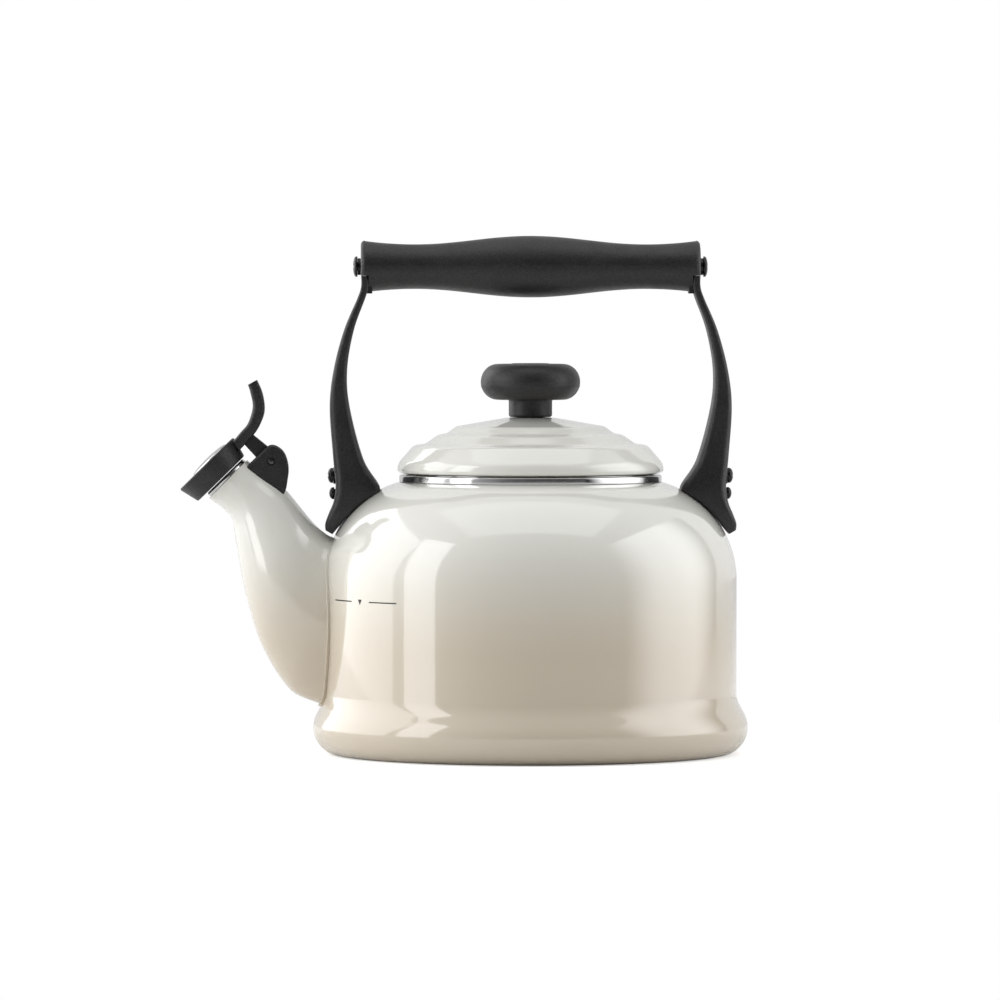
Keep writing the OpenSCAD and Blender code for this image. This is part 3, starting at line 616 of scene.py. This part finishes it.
def make_world():
    """White to the camera; for light, a pale room that is darkest in front, a little to the right."""
    world = bpy.data.worlds.new("studio")
    bpy.context.scene.world = world
    world.use_nodes = True
    tree = world.node_tree
    background = tree.nodes["Background"]
    background.inputs["Color"].default_value = (1, 1, 1, 1)
    way = add(tree, "ShaderNodeTexCoord")
    facing = add(tree, "ShaderNodeVectorMath", operation="DOT_PRODUCT")
    facing.inputs[1].default_value = (-0.34, 0.94, 0)
    front = add(tree, "ShaderNodeMapRange", interpolation_type="SMOOTHSTEP")
    front.inputs["From Min"].default_value = -1.0
    front.inputs["From Max"].default_value = 0.1
    front.inputs["To Min"].default_value = 0.09
    front.inputs["To Max"].default_value = 0.72
    path = add(tree, "ShaderNodeLightPath")
    level = add(tree, "ShaderNodeMix", data_type="FLOAT")
    level.inputs["B"].default_value = 1.0
    tree.links.new(way.outputs["Generated"], facing.inputs[0])
    tree.links.new(facing.outputs["Value"], front.inputs["Value"])
    tree.links.new(front.outputs["Result"], level.inputs["A"])
    tree.links.new(path.outputs["Is Camera Ray"], level.inputs["Factor"])
    tree.links.new(level.outputs["Result"], background.inputs["Strength"])


make_camera()
make_floor()
make_world()
softbox("left_strip_box", -64, 12, 1.5, 0.54, 1.7, 3.4)
softbox("left_far_box", -112, 14, 1.5, 1.8, 1.7, 2.4)
softbox("right_wide_box", 86, 14, 1.5, 2.4, 1.8, 2.5, fade=0.4)
softbox("top_box", 0, 82, 1.4, 1.6, 1.2, 1.4)
bpy.context.scene.view_settings.view_transform = "Standard"


# ---------------------------------------------------------------- enamelled pieces

def body_outline():
    foot_start = FOOT_R - FOOT_ROUND
    line = [Vector((foot_start - 4 * MM, 0))]
    for step in range(13):
        a = radians(step * 7.5)
        line.append(Vector((foot_start + FOOT_ROUND * sin(a), FLARE_H * (1 - cos(a)))))
    flare_steps = 14
    for step in range(1, flare_steps + 1):
        z = FLARE_H + step * (FLARE_TOP - FLARE_H) / flare_steps
        line.append(Vector((body_radius(z), z)))
    dome_steps = 30
    for step in range(dome_steps + 1):
        a = step * DOME_END / dome_steps
        line.append(Vector((DOME_CENTRE + DOME_A * cos(a), SHOULDER_Z + DOME_B * sin(a))))
    return line


LOW_SHARES = [(0, 0), (0.267, 0.072), (0.513, 0.276), (0.651, 0.507),
              (0.735, 0.739), (0.78, 0.884), (0.854, 0.942), (1, 1)]
HIGH_SHARES = [(0, 0), (0.089, 0.065), (0.213, 0.181), (0.318, 0.312),
               (0.41, 0.436), (0.563, 0.632), (0.779, 0.81), (1, 1)]
WIDTH_SHARES = [(1, 0), (0.98, 0), (0.91, 0), (0.74, 0), (0.44, 0), (0.16, 0), (0.01, 0), (0, 0)]


def between(start, end, shares):
    return [(start.x + s * (end - start).x, start.y + t * (end - start).y) for s, t in shares]


mouth_along = MOUTH_R * Vector((cos(MOUTH_LEAN), sin(MOUTH_LEAN)))
mouth_middle = Vector((MOUTH_X, MOUTH_Z))
LOW_KNOTS = between(Vector((-body_radius(ROOT_LOW), ROOT_LOW)), mouth_middle - mouth_along, LOW_SHARES)
HIGH_KNOTS = between(Vector((-body_radius(ROOT_HIGH), ROOT_HIGH)), mouth_middle + mouth_along, HIGH_SHARES)
SPOUT_SIDES = 96


def spout_ring(t, grow=0.0, lift=0.0):
    """One section of the spout; at t = 0 it lies on the body, lifted off it by lift."""
    low, high = along(LOW_KNOTS, t), along(HIGH_KNOTS, t)
    middle, half = (low + high) / 2, (high - low) / 2
    half = half * (1 + grow / half.length)
    share = along(WIDTH_SHARES, t)[0]
    width = MOUTH_R + share * (ROOT_HALF_W - MOUTH_R) + grow
    pull = max(1 - t, 0) ** 2
    ring = []
    for i in range(SPOUT_SIDES):
        a = 2 * pi * i / SPOUT_SIDES
        x, y, z = middle.x + half.x * cos(a), width * sin(a), middle.y + half.y * cos(a)
        if pull:
            on_body = -sqrt((body_radius(z) + lift) ** 2 - y * y)
            x += pull * (on_body - x)
        ring.append((x, y, z))
    return ring


def make_body():
    outline = body_outline()
    inside = shifted(outline, -SHEET)
    body = turned("enamel_body", outline + inside[::-1], steps=192)
    hole_ring = spout_ring(0, -SPOUT_WALL)
    outer = [(-WALL_R - 20 * MM, y, z) for x, y, z in hole_ring]
    inner = [(-WALL_R + 40 * MM, y, z) for x, y, z in hole_ring]
    cut(body, lofted("cutter", [outer, inner]))
    finish_piece(shade(body), "kettle", ENAMEL, "enamel", "body_shell")


def make_spout():
    lift = 0.05 * MM
    fillet = [spout_ring(0, grow, lift) for grow in (1.6 * MM, 1.0 * MM)]
    fillet = [[(x + lift, y, z) for x, y, z in fillet[0]],
              [(x - 0.12 * MM, y, z) for x, y, z in fillet[1]]]
    neck = []
    for t, grow in ((0.02, 0.55 * MM), (0.05, 0.25 * MM), (0.1, 0.08 * MM)):
        neck.append(spout_ring(t, grow, lift))
    neck += [spout_ring(0.1 + i * 6.9 / 55, 0, lift) for i in range(1, 56)]
    spout = lofted("enamel_spout", fillet + neck, ends=False)
    modify(spout, "SOLIDIFY", thickness=SPOUT_WALL, offset=-1)
    finish_piece(shade(spout, 50), "kettle", ENAMEL, "enamel", "spout")


def lid_outline():
    up = (LID_TOP - LID_LOW) / 25.4
    corners = [(55.7, 0, 0), (59.7, 0.9, 2), (59, 5, 2.6), (52.2, 12.9, 2), (46.9, 13.5, 1.6),
               (41.3, 17.5, 1.4), (37.3, 18.2, 1.2), (33.2, 21.3, 1.3), (10.5, 25.2, 1.5), (2.3, 25.4, 0)]
    return eased([(x * MM, LID_LOW + y * up, c * MM) for x, y, c in corners], steps=8)


def make_lid():
    outline = lid_outline()
    inside = shifted(outline, -1.0 * MM)
    lid = turned("enamel_lid", outline + inside[::-1], steps=192)
    finish_piece(lid, "lid", ENAMEL, "enamel", "lid_shell")


def make_level_mark():
    """Two printed dashes and a small arrow head, standing a hair proud of the wall."""
    proud = 0.03 * MM
    level = 70 * MM
    dashes = [(-70.8, -60.0), (-51.6, -40.8)]
    for number, (start, end) in enumerate(dashes):
        steps = 12
        rings = []
        for i in range(steps + 1):
            a = radians(start + (end - start) * i / steps)
            way = Vector((sin(a), -cos(a), 0))
            tall = 0.28 * MM
            r_in, r_out = WALL_R - 0.1 * MM, WALL_R + proud
            rings.append([way * r + Vector((0, 0, level + h))
                          for r, h in ((r_in, -tall), (r_out, -tall), (r_out, tall), (r_in, tall))])
        dash = lofted(f"level_dash_{number + 1}", rings)
        finish_piece(dash, "kettle", MARK_INK, "black_screws")
    a = radians((dashes[0][1] + dashes[1][0]) / 2)
    way, side = Vector((sin(a), -cos(a), 0)), Vector((cos(a), sin(a), 0))
    head = [(-1.5 * MM, 1.0 * MM), (0, -1.4 * MM), (1.5 * MM, 1.0 * MM)]
    rings = [[way * r + side * s + Vector((0, 0, level + h)) for s, h in head]
             for r in (WALL_R - 0.2 * MM, WALL_R + proud)]
    finish_piece(lofted("level_arrow", rings), "kettle", MARK_INK, "black_screws")


# ---------------------------------------------------------------- steel trim

def make_opening_ring():
    low = SHELL_H - 9 * MM
    corners = [(RING_HOLE_R, low, 0), (RING_HOLE_R + 0.8 * MM, low, 0),
               (RING_HOLE_R + 0.8 * MM, SHELL_H + 0.06 * MM, 0),
               (RING_R, SHELL_H + 0.06 * MM, 0.4 * MM), (RING_R, RING_TOP, 0.9 * MM),
               (RING_HOLE_R, RING_TOP, 0.7 * MM)]
    ring = turned("steel_opening_ring", eased(corners), steps=192)
    finish_piece(ring, "kettle", STEEL, "steel_trim", "opening_ring")


def make_lid_collar():
    low, high = low_corner("lid_collar"), high_corner("lid_collar")
    outer, t = RING_HOLE_R - 0.4 * MM, 0.8 * MM
    corners = [(outer - t, low.z, 0), (outer, low.z, 0.3 * MM), (outer, high.z - t, 0.5 * MM),
               (high.x, high.z - t, 0), (high.x, high.z, 0.2 * MM), (outer - t, high.z, 0.6 * MM)]
    collar = turned("steel_lid_collar", eased(corners), steps=160)
    finish_piece(collar, "lid", STEEL, "steel_trim", "lid_collar")


def make_spout_rim():
    inner = MOUTH_R - SPOUT_WALL - 1.3 * MM
    outer = MOUTH_R + 0.4 * MM
    corners = [(inner, -1.6 * MM, 0), (inner + 0.8 * MM, -1.6 * MM, 0), (inner + 0.8 * MM, 0.05 * MM, 0),
               (outer - 0.2 * MM, 0.05 * MM, 0), (outer, RIM_H / 2, 0.4 * MM),
               (outer - 0.6 * MM, RIM_H, 0.5 * MM), (inner, RIM_H, 0.6 * MM)]
    rim = place(turned("steel_spout_rim", eased(corners), steps=96), MOUTH)
    finish_piece(rim, "kettle", STEEL, "steel_trim", "spout_rim")


# ---------------------------------------------------------------- handle

def grip_radius(x):
    waist = GRIP_HALF * 0.68
    if x < waist:
        return (GRIP_R + WAIST_R) / 2 + (GRIP_R - WAIST_R) / 2 * cos(pi * x / waist)
    return WAIST_R + (END_R - WAIST_R) * ((x - waist) / (GRIP_HALF - waist)) ** 2


def make_grip():
    edge = 2 * MM
    steps = 64
    body = [Vector((grip_radius(abs(x)), x)) for x in
            (i * (GRIP_HALF - edge) / steps for i in range(-steps, steps + 1))]
    end_r = grip_radius(GRIP_HALF)
    top = [Vector((end_r - edge + edge * cos(a), GRIP_HALF - edge + edge * sin(a)))
           for a in (radians(k) for k in range(15, 91, 15))] + [Vector((0, GRIP_HALF))]
    low = [Vector((p.x, -p.y)) for p in reversed(top)]
    grip = turned("grip", low + body + top, steps=128, closed=False)
    place(grip, Matrix.Translation((0, 0, GRIP_Z)) @ Matrix.Rotation(pi / 2, 4, "Y"))
    edit(grip)
    for height in (-0.22 * MM, 0.22 * MM):
        bpy.ops.mesh.select_all(action="SELECT")
        bpy.ops.mesh.bisect(plane_co=(0, 0, GRIP_Z + height), plane_no=(0, 0, 1))
    leave_edit()
    for vertex in grip.data.vertices:
        level = vertex.co.z - GRIP_Z
        if abs(level) < 0.1 * MM and abs(vertex.co.x) < GRIP_HALF - 0.5 * MM:
            vertex.co.y *= 1 - 0.16 * MM / max(abs(vertex.co.y), MM)
    for side in (-1, 1):
        ends = sorted((side * (GRIP_HALF - 3.5 * MM), side * (GRIP_HALF + 5 * MM)))
        cut(grip, block((ends[0], -0.02, NOTCH_TOP - 0.03), (ends[1], 0.02, NOTCH_TOP)))
    finish_piece(shade(grip, 30), "kettle", PHENOLIC, "black_phenolic", "handle_grip")


def rounded_section(outer, inner, half_w, corner):
    """A rounded rectangle between two points of the X-Z plane, half_w to each side in Y."""
    middle, half = (outer + inner) / 2, (outer - inner) / 2
    thick = half.length
    across = half.normalized()
    corner = min(corner, thick * 0.95, half_w * 0.95)
    ring = []
    per_corner = 6
    for quarter, (sx, sy) in enumerate(((1, 1), (-1, 1), (-1, -1), (1, -1))):
        for k in range(per_corner):
            a = pi / 2 * (quarter + k / (per_corner - 1))
            x = sx * (thick - corner) + corner * cos(a)
            y = sy * (half_w - corner) + corner * sin(a)
            ring.append((middle.x + across.x * x, y, middle.y + across.y * x))
    return ring


def push_out(ring, gap):
    """Moves the points of a ring that lie in the dome out to its surface, gap away."""
    pushed = []
    for x, y, z in ring:
        r = hypot(x, y)
        need = body_radius(z) + gap if z < SHELL_H - 0.3 * MM else 0
        if z > SHOULDER_Z and r < need:
            x, y = x * need / r, y * need / r
        pushed.append((x, y, z))
    return pushed


def arm_pairs():
    """Pairs of an outer and an inner point down one arm, from the grip to the toe."""
    half = GRIP_HALF - 0.1 * MM
    rise = GRIP_Z - 14 * MM - FOOT_SCREW_Z
    z0, out = FOOT_SCREW_Z, ARM_OUT
    outer = [(half, NOTCH_TOP - 0.1 * MM), (half, z0 + rise + 5 * MM), (half + 1.6 * MM, z0 + rise),
             ((out - 1.8 * MM + half) / 2 + 1.5 * MM, z0 + 0.82 * rise), (out - 1.8 * MM, z0 + 0.6 * rise),
             (out, z0 + 0.39 * rise), (out - 1.4 * MM, z0 + 0.12 * rise), (out - 2.6 * MM, z0 - 3.8 * MM),
             (out - 1.7 * MM, z0 - 11.5 * MM), (out + 0.6 * MM, z0 - 17.3 * MM), (out + 2.0 * MM, z0 - 21.3 * MM),
             (out + 1.9 * MM, z0 - 24.2 * MM)]
    t = 3.2 * MM
    inner = [(half - t, NOTCH_TOP - 0.1 * MM), (half - t, z0 + rise + 5 * MM), (half - t + 1.3 * MM, z0 + rise),
             ((out - 8 * MM + half - t) / 2 + 1.8 * MM, z0 + 0.82 * rise), (out - 7.8 * MM, z0 + 0.6 * rise),
             (out - 8.8 * MM, z0 + 0.39 * rise), (out - 15 * MM, z0 + 0.09 * rise),
             (out - 22.5 * MM, z0 - 6.2 * MM), (out - 15.2 * MM, z0 - 11.6 * MM), (out - 8.6 * MM, z0 - 17.6 * MM),
             (out - 4.2 * MM, z0 - 22.4 * MM), (out - 1.2 * MM, z0 - 26 * MM)]
    widths = [9.5, 9.5, 9.5, 9.7, 10.1, 10.9, 12.6, 13.9, 14.0, 13.4, 11.8, 9.6]
    corners = [0.8, 0.8, 1.2, 1.8, 2.2, 2.6, 3.4, 3.6, 3.2, 2.6, 2.0, 1.4]
    return outer, inner, [(w * MM, c * MM) for w, c in zip(widths, corners)]


def make_arm(side, name):
    outer, inner, sections = arm_pairs()
    steps = 8
    rings = []
    for i in range((len(outer) - 1) * steps + 1):
        t = i / steps
        section = along(sections, t)
        ring = rounded_section(along(outer, t), along(inner, t), section.x, section.y)
        rings.append(push_out(ring, 0.5 * MM))
    arm = lofted(f"{name}_arm", rings)
    edit(arm)
    leave_edit()
    tang = block((GRIP_HALF - 5.1 * MM, -6 * MM, NOTCH_TOP - 8 * MM),
                 (GRIP_HALF - 2.2 * MM, 6 * MM, GRIP_Z + 5.3 * MM), "tang")
    cut(arm, tang, "UNION")
    if side < 0:
        arm.data.transform(Matrix.Scale(-1, 4, (1, 0, 0)))
        arm.data.flip_normals()
    finish_piece(shade(arm, 40), "kettle", PHENOLIC, "black_phenolic", f"{name}_handle_arm")


def domed_head(name, radius, height, shank_r, shank_l, cross=True):
    """A pan head screw along -Z, with a cross recess."""
    rise = [Vector((radius * cos(a), height * (0.3 + 0.7 * sin(a)))) for a in
            (radians(k) for k in range(0, 91, 9))]
    outline = [Vector((0, -shank_l)), Vector((shank_r, -shank_l)), Vector((shank_r, 0)),
               Vector((radius - 0.15 * MM, 0)), Vector((radius, 0.15 * MM))] + rise
    screw = turned(name, outline, steps=48, closed=False)
    if cross:
        arm, thin, deep = radius * 0.5, radius * 0.11, height * 0.45
        cut(screw, block((-arm, -thin, height - deep), (arm, thin, height + MM)))
        cut(screw, block((-thin, -arm, height - deep), (thin, arm, height + MM)))
    return shade(screw, 30)


def outward(side, x, z):
    return Matrix.Translation((side * x, 0, z)) @ Matrix.Rotation(side * pi / 2, 4, "Y")


def washer_outline(outer, inner, t):
    e = 0.2 * MM
    return [(inner, 0), (outer - e, 0), (outer, e), (outer, t - e), (outer - e, t), (inner, t)]


def make_handle_screws():
    seat = ARM_OUT - 2.6 * MM
    for side, name in ((-1, "left"), (1, "right")):
        grip_washer = turned(f"{name}_grip_washer_piece", washer_outline(3.8 * MM, 2.1 * MM, 1.4 * MM), 48)
        place(grip_washer, outward(side, GRIP_HALF + 0.05 * MM, GRIP_Z))
        finish_piece(grip_washer, "kettle", BLACK_SCREW, "black_screws", f"{name}_grip_washer")
        grip_screw = domed_head(f"{name}_grip_screw_piece", 4.6 * MM, 2 * MM, 2 * MM, 16 * MM)
        place(grip_screw, outward(side, GRIP_HALF + 1.5 * MM, GRIP_Z))
        finish_piece(grip_screw, "kettle", BLACK_SCREW, "black_screws", f"{name}_grip_screw")
        foot_washer = turned(f"{name}_foot_washer_piece", washer_outline(3.8 * MM, 2.1 * MM, 1 * MM), 48)
        place(foot_washer, outward(side, seat + 0.05 * MM, FOOT_SCREW_Z))
        finish_piece(foot_washer, "kettle", BLACK_SCREW, "black_screws", f"{name}_foot_washer")
        foot_screw = domed_head(f"{name}_foot_screw_piece", 3.4 * MM, 2.5 * MM, 2 * MM, 12 * MM)
        place(foot_screw, outward(side, seat + 1.1 * MM, FOOT_SCREW_Z))
        finish_piece(foot_screw, "kettle", BLACK_SCREW, "black_screws", f"{name}_foot_screw")
        foot_pin = domed_head(f"{name}_foot_pin_piece", 2.7 * MM, 2.3 * MM, 1.95 * MM, 10.5 * MM, cross=False)
        place(foot_pin, outward(side, ARM_OUT - 2 * MM, FOOT_PIN_Z))
        finish_piece(foot_pin, "kettle", BLACK_SCREW, "black_screws", f"{name}_foot_pin")


# ---------------------------------------------------------------- knob

def make_knob():
    neck_r, neck_h = 9.7 * MM, 7.7 * MM
    rim_r = 8 * MM
    across = rim_r * 0.94
    middle = KNOB_LOW + neck_h + rim_r
    outline = eased([(0, KNOB_LOW, 0), (neck_r - 0.7 * MM, KNOB_LOW, 0), (neck_r, KNOB_LOW + 0.7 * MM, 0.3 * MM),
                     (neck_r, KNOB_LOW + neck_h, 0.8 * MM), (neck_r + 3 * MM, KNOB_LOW + neck_h, 0)])
    for k in range(-90, 91, 5):
        a = radians(k)
        proud = 0.14 * MM if k == -15 else 0
        outline.append(Vector((KNOB_R - across + (across + proud) * cos(a), middle + (rim_r + proud) * sin(a))))
    crown = middle + rim_r
    outline += eased([(15 * MM, crown - 0.02 * MM, 0), (14.4 * MM, crown - 0.5 * MM, 0.2 * MM),
                      (9 * MM, crown - 0.5 * MM, 0.3 * MM), (8.2 * MM, crown + 0.3 * MM, 0.4 * MM),
                      (0, crown + 0.38 * MM, 0)])
    knob = turned("knob_piece", outline, steps=128, closed=False)
    finish_piece(knob, "lid", PHENOLIC, "black_phenolic", "knob")
    rib = block((10.1 * MM, -0.45 * MM, crown - 0.6 * MM), (13.6 * MM, 0.45 * MM, crown + 0.05 * MM), "knob_rib")
    modify(rib, "BEVEL", width=0.2 * MM, segments=2)
    count = 36
    ribs = [copy_of(rib, f"rib_{i}", Matrix.Rotation(2 * pi * i / count, 4, "Z")) for i in range(1, count)]
    deselect()
    for piece in ribs:
        piece.select_set(True)
    rib.select_set(True)
    bpy.context.view_layer.objects.active = rib
    bpy.ops.object.join()
    rib.name = "knob_ribs"
    finish_piece(shade(rib), "lid", PHENOLIC, "black_phenolic")


# ---------------------------------------------------------------- whistle

def make_cap():
    foot_r, top_r = 14.45 * MM, 16.75 * MM
    passage, seat = MOUTH_R - 3.4 * MM, 10 * MM
    corners = [(passage, CAP_LOW, 0), (foot_r, CAP_LOW, 0.8 * MM), (top_r, CAP_TOP, 1.1 * MM),
               (1 * MM, CAP_TOP, 0), (1 * MM, CAP_TOP - 4.9 * MM, 0), (passage, CAP_TOP - 4.9 * MM, 0)]
    cap = turned("whistle_cap_piece", eased(corners), steps=128)
    cap.data.transform(Matrix.Translation((-CAP_OFFSET, 0, 0)))
    well = turned("cutter", [(0, CAP_TOP - 5 * MM), (9.05 * MM, CAP_TOP - 5 * MM), (9.05 * MM, CAP_TOP - 0.8 * MM),
                             (10.05 * MM, CAP_TOP - 0.8 * MM), (10.05 * MM, CAP_TOP + MM), (0, CAP_TOP + MM)],
                  96, closed=False)
    cut(cap, well)
    throat = turned("cutter", [(0, CAP_LOW - MM), (10.75 * MM, CAP_LOW - MM), (10.75 * MM, CAP_LOW + 1.8 * MM),
                               (passage, CAP_LOW + 1.8 * MM), (passage, CAP_TOP), (0, CAP_TOP)], 96, closed=False)
    cut(cap, throat)
    place(cap, MOUTH)
    finish_piece(shade(cap), "whistle_flap", PHENOLIC, "black_phenolic", "whistle_cap")
    edge = [(9.98 * MM * cos(a), CAP_TOP + 1.5 * MM * sin(a)) for a in (radians(k) for k in range(0, 82, 5))]
    outline = [(1.4 * MM, CAP_TOP - 0.75 * MM), (9.98 * MM, CAP_TOP - 0.75 * MM)] + edge + \
              [(1.4 * MM, CAP_TOP + 1.5 * MM)]
    dome = place(turned("whistle_plate", outline, 96), MOUTH)
    finish_piece(dome, "whistle_flap", POLISHED, "polished_steel", "whistle_outer_plate")


def make_lever():
    low, high = CAP_LOW + 3.4 * MM, CAP_TOP - 1.1 * MM
    front = [(13.2, 0), (15, 0), (19, 0.4), (24, 1), (30.5, 4.7), (34.4, 10.3), (35.8, 13.2)]
    front = [(x * MM, high + y * MM) for x, y in front]
    back = [(12.6 * MM, low), (14.8 * MM, low), (19.6 * MM, low + 0.3 * MM), (25.4 * MM, low + 1.1 * MM),
            (32.6 * MM, high - 0.6 * MM), (37.6 * MM, high + 5.6 * MM), (40.2 * MM, high + 12 * MM)]
    sections = [(6.4, 1.0), (6.6, 1.2), (6.8, 1.4), (7.0, 1.7), (7.0, 1.9), (7.0, 1.7), (6.4, 1.2)]
    sections = [(w * MM, c * MM) for w, c in sections]
    steps = 8
    rings = []
    for i in range((len(front) - 1) * steps + 1):
        t = i / steps
        section = along(sections, t)
        rings.append(rounded_section(along(front, t), along(back, t), section.x, section.y))
    lever = lofted("thumb_lever_piece", rings)
    modify(lever, "BEVEL", width=0.5 * MM, segments=2, limit_method="ANGLE", angle_limit=radians(60))
    leg_w = SLOT_W - 0.6 * MM
    knuckle = 4.4 * MM
    around = [(PIN_X + knuckle * cos(a), PIN_Z + knuckle * sin(a)) for a in
              (radians(k) for k in range(150, 391, 10))]
    leg = around + [(PIN_X + 2.3 * MM, low + 1.6 * MM), (PIN_X - 3.4 * MM, low + 1.6 * MM)]
    arm = plate("cutter", leg, leg_w, bevel=0.6 * MM)
    cut(lever, arm, "UNION")
    hole = turned("cutter", [(0, -0.01), (1.55 * MM, -0.01), (1.55 * MM, 0.01), (0, 0.01)], 32, closed=False)
    cut(lever, place(hole, Matrix.Translation((PIN_X, 0, PIN_Z)) @ Matrix.Rotation(pi / 2, 4, "X")))
    spring_room = turned("cutter", [(0, -2 * MM), (3.6 * MM, -2 * MM), (3.6 * MM, 2 * MM), (0, 2 * MM)],
                         32, closed=False)
    cut(lever, place(spring_room, Matrix.Translation((PIN_X, 0, PIN_Z)) @ Matrix.Rotation(pi / 2, 4, "X")))
    place(lever, MOUTH)
    finish_piece(shade(lever, 40), "whistle_flap", PHENOLIC, "black_phenolic", "thumb_lever")


def make_housing():
    top = -1.7 * MM
    corners = [(3, top / MM - 6, 0), (8.3, top / MM - 2.6, 0.8), (8.7, top / MM, 1.2),
               (PIN_X / MM + 5.4, top / MM, 3.4), (PIN_X / MM + 7.4, PIN_Z / MM - 0.4, 3.4),
               (PIN_X / MM + 4, PIN_Z / MM - 7.5, 4), (PIN_X / MM - 4.6, PIN_Z / MM - 14, 3),
               (11, PIN_Z / MM - 15, 1.8), (4, PIN_Z / MM - 8, 0)]
    housing = plate("hinge_housing_piece", eased(in_mm(corners)), HOUSING_W, bevel=1.8 * MM, segments=4)
    floor = PIN_Z - 4.7 * MM
    cut(housing, block((0, -SLOT_W / 2, floor), (0.04, SLOT_W / 2, 0.03)))
    for side in (-1, 1):
        recess = turned("cutter", [(0, -0.8 * MM), (2 * MM, -0.8 * MM), (2 * MM, 2 * MM), (0, 2 * MM)],
                        48, closed=False)
        cut(housing, place(recess, Matrix.Translation((PIN_X, side * HOUSING_W / 2, PIN_Z))
                           @ Matrix.Rotation(-side * pi / 2, 4, "X")))
    place(housing, MOUTH)
    saddle = lofted("cutter", [spout_ring(4 + i / 8, 0.1 * MM) for i in range(25)])
    cut(housing, saddle)
    finish_piece(shade(housing, 40), "kettle", PHENOLIC, "black_phenolic", "hinge_housing")


def make_pin_ends():
    """The hinge pin with a small domed head at each end."""
    half = HOUSING_W / 2 - 0.75 * MM
    outline = [(0, -half - 0.5 * MM)] + [(1.5 * MM * sin(a), -half - 0.5 * MM * cos(a)) for a in
                                         (radians(k) for k in range(15, 91, 15))]
    outline += [(1.5 * MM, -half + 0.2 * MM), (1.5 * MM, half - 0.2 * MM)]
    outline += [(1.5 * MM * cos(a), half + 0.5 * MM * sin(a)) for a in (radians(k) for k in range(0, 76, 15))]
    outline += [(0, half + 0.5 * MM)]
    pin = turned("hinge_pin_piece", outline, 48, closed=False)
    place(pin, MOUTH @ Matrix.Translation((PIN_X, 0, PIN_Z)) @ Matrix.Rotation(pi / 2, 4, "X"))
    finish_piece(pin, "kettle", DARK_STEEL, "plain_steel", "hinge_pin")


def make_base():
    """The flat base with a shallow pressed ring."""
    under = FOOT_R - FOOT_ROUND - 4.05 * MM
    over_z = SHEET + 0.05 * MM
    outline = eased([(0, 0, 0), (under, 0, 0.3 * MM), (under, over_z, 0), (FOOT_R - FOOT_ROUND - SHEET, over_z, 0),
                     (FOOT_R - FOOT_ROUND - SHEET, over_z + 1.4 * MM, 0.4 * MM), (0, over_z + 1.4 * MM, 0)])
    grooves = []
    for r in (28 * MM, 56 * MM):
        grooves += [Vector((r - 0.8 * MM, 0)), Vector((r, 0.35 * MM)), Vector((r + 0.8 * MM, 0))]
    base = turned("base_plate_piece", [outline[0]] + grooves + outline[1:], steps=160, closed=False)
    finish_piece(base, "kettle", BASE_STEEL, "base_steel", "base_plate")


def finish_cad_nodes():
    """Materials for the CAD nodes that stay as they are."""
    kept = {"left_handle_lug": STEEL, "right_handle_lug": STEEL, "spout_bracket": STEEL,
            "housing_screw": PLAIN_STEEL, "return_spring": PLAIN_STEEL, "knob_screw": PLAIN_STEEL,
            "knob_washer": PLAIN_STEEL, "left_grip_insert": BRASS, "right_grip_insert": BRASS,
            "knob_insert": BRASS, "mouth_seal": SEAL, "whistle_inner_plate": POLISHED}
    for name, material in kept.items():
        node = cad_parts[name]
        node.data.materials.clear()
        node.data.materials.append(material)


make_body()
make_spout()
make_lid()
make_level_mark()
make_opening_ring()
make_lid_collar()
make_spout_rim()
make_grip()
make_arm(-1, "left")
make_arm(1, "right")
make_handle_screws()
make_knob()
make_cap()
make_lever()
make_housing()
make_pin_ends()
make_base()
finish_cad_nodes()
